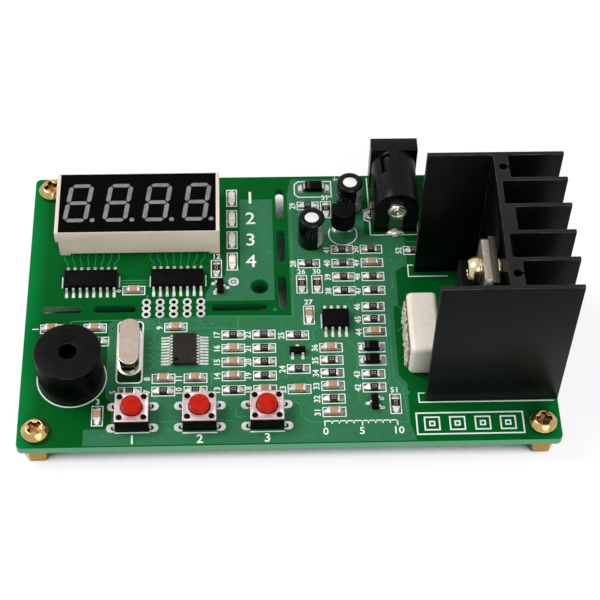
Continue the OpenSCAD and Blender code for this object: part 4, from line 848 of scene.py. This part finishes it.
aside, reach = ink["registerEnd"]
for center in registers:
    drawEnd(center, -aside, reach)
    drawEnd(center, aside, reach)
drawEnd(middle(*boardBox("op_amp_body")), *ink["opAmpEnd"])
draw(rectangle(*crystalField, crystalCorner), True, ink["bold"])
buzzer = middle(*boardBox("buzzer_case"))
draw(arc(buzzer.x, buzzer.y, ink["buzzer"], 0, 360, 64)[:-1], True)
side, front = ink["switchFront"]
label = ink["switchNumber"]
for count, center in enumerate(switchCenters, 1):
    draw([(center.x - side, center.y - front), (center.x + side, center.y - front)])
    addNumber(inkBm, str(count), center.x, label["y"], label["size"], inkHeight, 0, label["bold"])
draw(ink["diodeBox"], True)
for line in (*ink["plus"], ink["jack"], *ink["heatSink"]):
    draw(line)
low, high = boardBox("terminal_block")
draw(rectangle(*middle(low, high).xy, *[side + ink["terminalGap"] for side in (high - low).xy]), True)
regulator = middle(*boardBox("regulator_body"))
draw(arc(regulator.x, regulator.y - ink["regulator"]["back"], ink["regulator"]["radius"], *ink["regulator"]["ends"]))
for low, high in boxesOf("diode_bodies"):
    if (high - low).x < ink["smallLength"]:
        draw(rectangle(*middle(low, high).xy, *ink["smallDiode"]), True)

# A framed row of plain squares, and a small scale
frameBox = {"x": 80.7, "y": 3.7, "size": (19.4, 4.7), "squares": 4, "pitch": 4.55, "sides": (2.9, 1.1)}
draw(rectangle(frameBox["x"], frameBox["y"], *frameBox["size"]), True, ink["bold"])
for i in range(frameBox["squares"]):
    x = frameBox["x"] + (i - (frameBox["squares"] - 1) / 2) * frameBox["pitch"]
    for side in frameBox["sides"]:
        draw(rectangle(x, frameBox["y"], side, side), True, ink["bold"])
scale = {"start": 54.8, "y": 4.7, "step": 1.3, "last": 10, "every": 5, "longTick": 1.2, "tick": 0.7,
         "numberDrop": 2.3, "number": 2.1, "bold": 0.03}
draw([(scale["start"], scale["y"]), (scale["start"] + scale["step"] * scale["last"], scale["y"])])
for i in range(scale["last"] + 1):
    x, numbered = scale["start"] + scale["step"] * i, i % scale["every"] == 0
    draw([(x, scale["y"]), (x, scale["y"] - (scale["longTick"] if numbered else scale["tick"]))])
    if numbered:
        addNumber(inkBm, str(i), x, scale["y"] - scale["numberDrop"], scale["number"], inkHeight, 0, scale["bold"])
makePiece("boardInk", inkBm, "ink")
print("ink done")

# The buzzer's moulded plus in a ring
plus = {"dx": -0.45, "dy": 3.4, "radius": 1.35, "arm": 0.75, "line": 0.22, "height": 0.08}
mark = bmesh.new()
addLine(mark, arc(0, 0, plus["radius"], 0, 360, 28)[:-1], plus["line"], plus["height"], True)
addLine(mark, [(-plus["arm"], 0), (plus["arm"], 0)], plus["line"], plus["height"])
addLine(mark, [(0, -plus["arm"]), (0, plus["arm"])], plus["line"], plus["height"])
bmesh.ops.translate(mark, vec=(buzzer.x + plus["dx"], buzzer.y + plus["dy"], boardBox("buzzer_case")[1].z),
                    verts=mark.verts)
makePiece("buzzerMark", mark, "buzzerBlack")

# The sleeves' rolled lips, and a speckled stripe down each
cans = {"lip": [(1.36, -0.02), (1.4, 0.05), (1.55, 0.08), (2.05, 0.06), (2.1, -0.02)],
        "stripeTurn": -62, "stripeAngle": 62, "stripeEnds": (0.5, 0.45), "proud": 0.012, "thick": 0.02}
lips, stripes = bmesh.new(), bmesh.new()
for low, high in boxesOf("capacitor_sleeves"):
    center = middle(low, high)
    addTurned(lips, cans["lip"] + cans["lip"][:1], center.x, center.y, high.z, 40)
    strip = bmesh.new()
    radius = (high.x - low.x) / 2 + cans["proud"]
    foot = strip.verts.new((radius, 0, low.z + cans["stripeEnds"][0]))
    head = strip.verts.new((radius, 0, high.z - cans["stripeEnds"][1]))
    bmesh.ops.spin(strip, geom=[foot, head, strip.edges.new((foot, head))], cent=(0, 0, 0), axis=(0, 0, 1), steps=10,
                   angle=math.radians(cans["stripeAngle"]), use_merge=False, use_duplicate=False)
    thicken(strip, cans["thick"])
    absorb(stripes, strip, turned(center.x, center.y, 0, cans["stripeTurn"]))
makePiece("sleeveLips", lips, "sleeveBlack")
makePiece("sleeveStripes", stripes, "sleeveGrey")

# A printed frame on each resistor
resistorMark = {"size": (0.8, 0.55), "line": 0.1, "height": 0.02}
frames = bmesh.new()
for low, high in boxesOf("chip_resistors"):
    center, outline = middle(low, high), bmesh.new()
    addLine(outline, rectangle(0, 0, *resistorMark["size"]), resistorMark["line"], resistorMark["height"], True)
    absorb(frames, outline, turned(center.x, center.y, high.z, chipTurn(center)))
makePiece("resistorMarks", frames, "markGrey")

# Cathode bands on the diodes: to the left, or to the rear on those that lie front to rear
band = {"shift": 0.3, "share": 0.16, "inset": 0.08, "proud": 0.02, "edge": 0.01}
bands = bmesh.new()
for low, high in boxesOf("diode_bodies"):
    center, size = middle(low, high), high - low
    long, short, way = (0, 1, -1) if size.x > size.y else (1, 0, 1)
    center[long] += way * band["shift"] * size[long]
    size[long] *= band["share"]
    size[short] -= band["inset"]
    size.z += band["proud"]
    block = bmesh.new()
    bmesh.ops.create_cube(block, size=1, matrix=Matrix.Diagonal((*size, 1)))
    roundEdges(block, block.edges, band["edge"])
    absorb(bands, block, Matrix.Translation(center))
makePiece("diodeBands", bands, "bandGrey")

# First-lead dimples, as shallow dished rings on the moulded tops
dimple = {"profile": [(0, 0.004), (0.3, 0.004), (0.36, 0.02), (0.42, 0.004), (0.42, -0.02), (0, -0.02)],
          "shifts": {"shift_register_bodies": (-4.1, -1.1), "op_amp_body": (-1.7, -1.1),
                     "controller_body": (-1.5, -2.5)}}
dimples = bmesh.new()
for node, (dx, dy) in dimple["shifts"].items():
    for low, high in boxesOf(node):
        center = middle(low, high)
        addTurned(dimples, dimple["profile"], center.x + dx, center.y + dy, high.z, 20)
makePiece("leadDimples", dimples, "epoxyBlack")

# Rough cement on the open side of the sense resistor's trough, with painted shade in its pits
cement = {"inset": 0.75, "cells": (46, 24), "depth": 0.8, "sink": 0.1, "proud": 0.02, "fade": 0.5,
          "lumps": (1.1, 2.6), "level": 0.5, "lumpiness": 1.1, "pit": 0.62, "pitFade": 0.22}
low, high = boardBox("sense_resistor")
center, span = middle(low, high), (high - low) / 2 - Vector((0, cement["inset"], cement["inset"]))
crust = bmesh.new()
upright = Matrix(((0, 0, -1), (span.y, 0, 0), (0, span.z, 0))).to_4x4()
bmesh.ops.create_grid(crust, x_segments=cement["cells"][0], y_segments=cement["cells"][1], size=1,
                      matrix=Matrix.Translation((low.x + cement["sink"], center.y, center.z)) @ upright)
depths = {}
for vert in newVerts(bmesh.ops.extrude_face_region(crust, geom=list(crust.faces))):
    aside = min(span.y - abs(vert.co.y - center.y), span.z - abs(vert.co.z - center.z))
    lump = sum(noise.noise(vert.co * s) for s in cement["lumps"]) / len(cement["lumps"])
    depths[vert] = max(0.0, cement["level"] + cement["lumpiness"] * lump) * min(1.0, aside / cement["fade"])
    vert.co.x -= cement["sink"] + cement["proud"] + cement["depth"] * depths[vert]
pits = crust.faces.layers.float.new("cavity")
for face in crust.faces:
    deep = max(depths.get(v, 1.0) for v in face.verts)
    face[pits] = min(1.0, max(0.0, (cement["pit"] - deep) / cement["pitFade"]))
faceOut(crust)
makePiece("cementCrust", crust, "cement")

# Rolled eye of the rivet on the jack's rear blade
eyeProfile = [(0, 0.02), (0.35, 0.02), (0.5, 0.16), (0.75, 0.18), (0.9, 0.04), (1.1, 0.02), (1.25, 0.3),
              (1.55, 0.36), (1.8, 0.14), (1.84, -0.1), (0, -0.1)]
eye = bmesh.new()
addTurned(eye, eyeProfile, jackMiddle.x, jackPin[0].y, jackMiddle.z, 32, Matrix.Rotation(math.pi / 2, 4, "X"))
makePiece("rivetEye", eye, "rimSteel")
print("marks done")

# CAD nodes shown with rounded edges: finish, rounding, its segments and the radius of a driver recess
softened = {
    "standoffs": ("standoffBrass", 0.12), "corner_screws": ("brass", 0.1, 2, 1.75),
    "display_case": ("caseWhite", 0.12), "shift_register_bodies": ("epoxyBlack", 0.06),
    "controller_body": ("epoxyGrey", 0.05), "op_amp_body": ("epoxyBlack", 0.06),
    "transistor_bodies": ("epoxyBlack", 0.06), "diode_bodies": ("epoxyBlack", 0.06),
    "chip_resistors": ("chipBlack", 0.05), "chip_capacitors": ("ceramicTan", 0.06), "chip_ends": ("solder", 0.06),
    "indicator_lenses": ("lampLens", 0.1), "crystal_can": ("canSteel", 0.32, 4), "crystal_header": ("rimSteel", 0.1),
    "buzzer_case": ("buzzerBlack", 0.22, 3), "switch_bases": ("switchBlack", 0.08),
    "switch_covers": ("coverSteel", 0.07), "jack_housing": ("jackBlack", 0.16),
    "capacitor_cans": ("canAluminium", 0.08), "capacitor_sleeves": ("sleeveBlack", 0.14, 3),
    "regulator_body": ("epoxyBlack", 0.1), "heat_sink": ("anodised", 0.1),
    "power_transistor_body": ("epoxyBlack", 0.12), "power_transistor_tab": ("tabTin", 0.06),
    "spreader_plate": ("spreader", 0.06), "tab_fasteners": ("paleBrass", 0.08),
    "terminal_block": ("terminalGreen", 0.12),
}
for node, (finish, *rounding) in softened.items():
    soften(node, finish, *rounding)

# Those that move ride on bodies of their own names
movers = {
    **dict.fromkeys(("left_button", "middle_button", "right_button"), ("buttonRed", 0.42, 4)),
    **dict.fromkeys(("left_clamp_screw", "right_clamp_screw"), ("clampBrass", 0.07, 2, 1.0)),
    **dict.fromkeys(("left_clamp_cage", "right_clamp_cage"), ("clampBrass", 0.07)),
}
for mover, (finish, *rounding) in movers.items():
    soften(mover, finish, *rounding, body=mover)

# The other nodes keep their own shape and take a finish
painted = {
    "circuit_board": "boardMask", "display_face": "faceBlack", "display_segments": "segmentGrey",
    "display_board": "fibre", "indicator_bases": "lampBase", "crystal_blank": "quartz", "buzzer_base": "buzzerBlack",
    # the buzzer's diaphragm is black as painted shade in its sound hole
    "buzzer_coil": "copper", "buzzer_diaphragm": "epoxyBlack", "jack_contacts": "blade",
    "sense_resistor": "ceramicWhite", "ic_leads": "leadTin", "transistor_leads": "leadTin",
    **dict.fromkeys(("buzzer_magnet", "switch_domes", "jack_center_pin", "heat_sink_pins"), "steel"),
    **dict.fromkeys(("display_pins", "diode_leads", "buzzer_leads", "switch_leads", "capacitor_leads",
                     "regulator_leads", "power_transistor_leads", "sense_resistor_leads",
                     "terminal_contacts"), "tin"),
}
for node, finish in painted.items():
    cadNodes[node].data.materials.clear()
    cadNodes[node].data.materials.append(finishes[finish])
print("nodes shown:", len(softened) + len(movers), "softened,", len(painted), "painted")

# Camera at the photograph's place
view = {"place": (40.195, -154.70, 253.47), "azimuth": -3.364, "elevation": 53.646, "roll": 1.83, "lens": 100.4,
        "sensor": 36, "clip": (0.01, 10)}
azimuth, elevation, roll = (math.radians(view[k]) for k in ("azimuth", "elevation", "roll"))
level = math.cos(elevation)
back = Vector((math.sin(azimuth) * level, -math.cos(azimuth) * level, math.sin(elevation)))
right = Vector((math.cos(azimuth), math.sin(azimuth), 0))
up = back.cross(right)
rolledRight = math.cos(roll) * right + math.sin(roll) * up
rolledUp = math.cos(roll) * up - math.sin(roll) * right
cameraData = bpy.data.cameras.new("camera")
cameraData.lens, cameraData.sensor_width = view["lens"], view["sensor"]
cameraData.clip_start, cameraData.clip_end = view["clip"]
camera = addObject("camera", cameraData)
camera.matrix_world = (Matrix.Translation(toFrame @ Vector(view["place"])) @
                       Matrix((rolledRight, rolledUp, back)).transposed().to_4x4())
scene.camera = camera

# Soft studio light from behind on the left, with a weak fill from the front: place, size and power
lamps = {"key": ((-0.34, 0.10, 0.46), 0.30, 2.4), "fill": ((0.16, -0.36, 0.30), 0.40, 1.35)}
for label, (spot, size, power) in lamps.items():
    lampData = bpy.data.lights.new(label, "AREA")
    lampData.shape, lampData.size, lampData.energy = "DISK", size, power
    lamp = addObject(label, lampData)
    lamp.matrix_world = Matrix.Translation(spot) @ Vector(spot).to_track_quat("Z", "Y").to_matrix().to_4x4()


# White for what the camera, gloss and glass see, and a plain level for the light itself
def seenDirectly(tree):
    path = addNode(tree, "LightPath")
    seen = addMath(tree, "MAXIMUM", path["Is Camera Ray"], path["Is Glossy Ray"])
    return addMath(tree, "MAXIMUM", seen, path["Is Transmission Ray"])


studio = {"worldLight": 0.45, "floorSize": 3, "floorColor": 0.8, "seenColor": 0.22, "seenGlow": 0.78,
          "shadowReach": 0.014, "shade": (0.28, 0.46), "paintedBoardLight": (0.10, 0.22, 0.15, 1)}
world = bpy.data.worlds.new("studio")
world.use_nodes = True
scene.world = world
tree, sky = world.node_tree, world.node_tree.nodes["Background"].inputs
sky["Color"].default_value = (1, 1, 1, 1)
feed(tree, sky["Strength"], spread(tree, seenDirectly(tree), studio["worldLight"], 1.0, 0, 1))

floorFinish = bpy.data.materials.new("paleFloor")
floorFinish.use_nodes = True
tree = floorFinish.node_tree
tree.nodes.clear()
plainColor, seenColor = ((studio[k],) * 3 + (1,) for k in ("floorColor", "seenColor"))
plain = addNode(tree, "BsdfDiffuse", {"Color": plainColor})
# the floor's glow dies away under the board as a painted shadow, and the shaded floor there takes a painted green
# light as if through the board
cover = addNode(tree, "AmbientOcclusion", {"Distance": studio["shadowReach"]})["AO"]
tint = blendColor(tree, spread(tree, cover, 0, 1, *studio["shade"]), studio["paintedBoardLight"], seenColor)
shaded = addNode(tree, "BsdfDiffuse", {"Color": tint})
glow = addNode(tree, "Emission", {"Strength": spread(tree, cover, 0, studio["seenGlow"], *studio["shade"])})
added = addNode(tree, "AddShader", {0: shaded[0], 1: glow[0]})
mixed = addNode(tree, "MixShader", {0: seenDirectly(tree), 1: plain[0], 2: added[0]})
addNode(tree, "OutputMaterial", {"Surface": mixed[0]})

bm = bmesh.new()
bmesh.ops.create_grid(bm, x_segments=1, y_segments=1, size=studio["floorSize"])
floorMesh = meshOf("floor", bm)
floorMesh.materials.append(floorFinish)
floor = addObject("floor", floorMesh)
scene.view_settings.view_transform = "Standard"
print("camera, lamps and floor done")
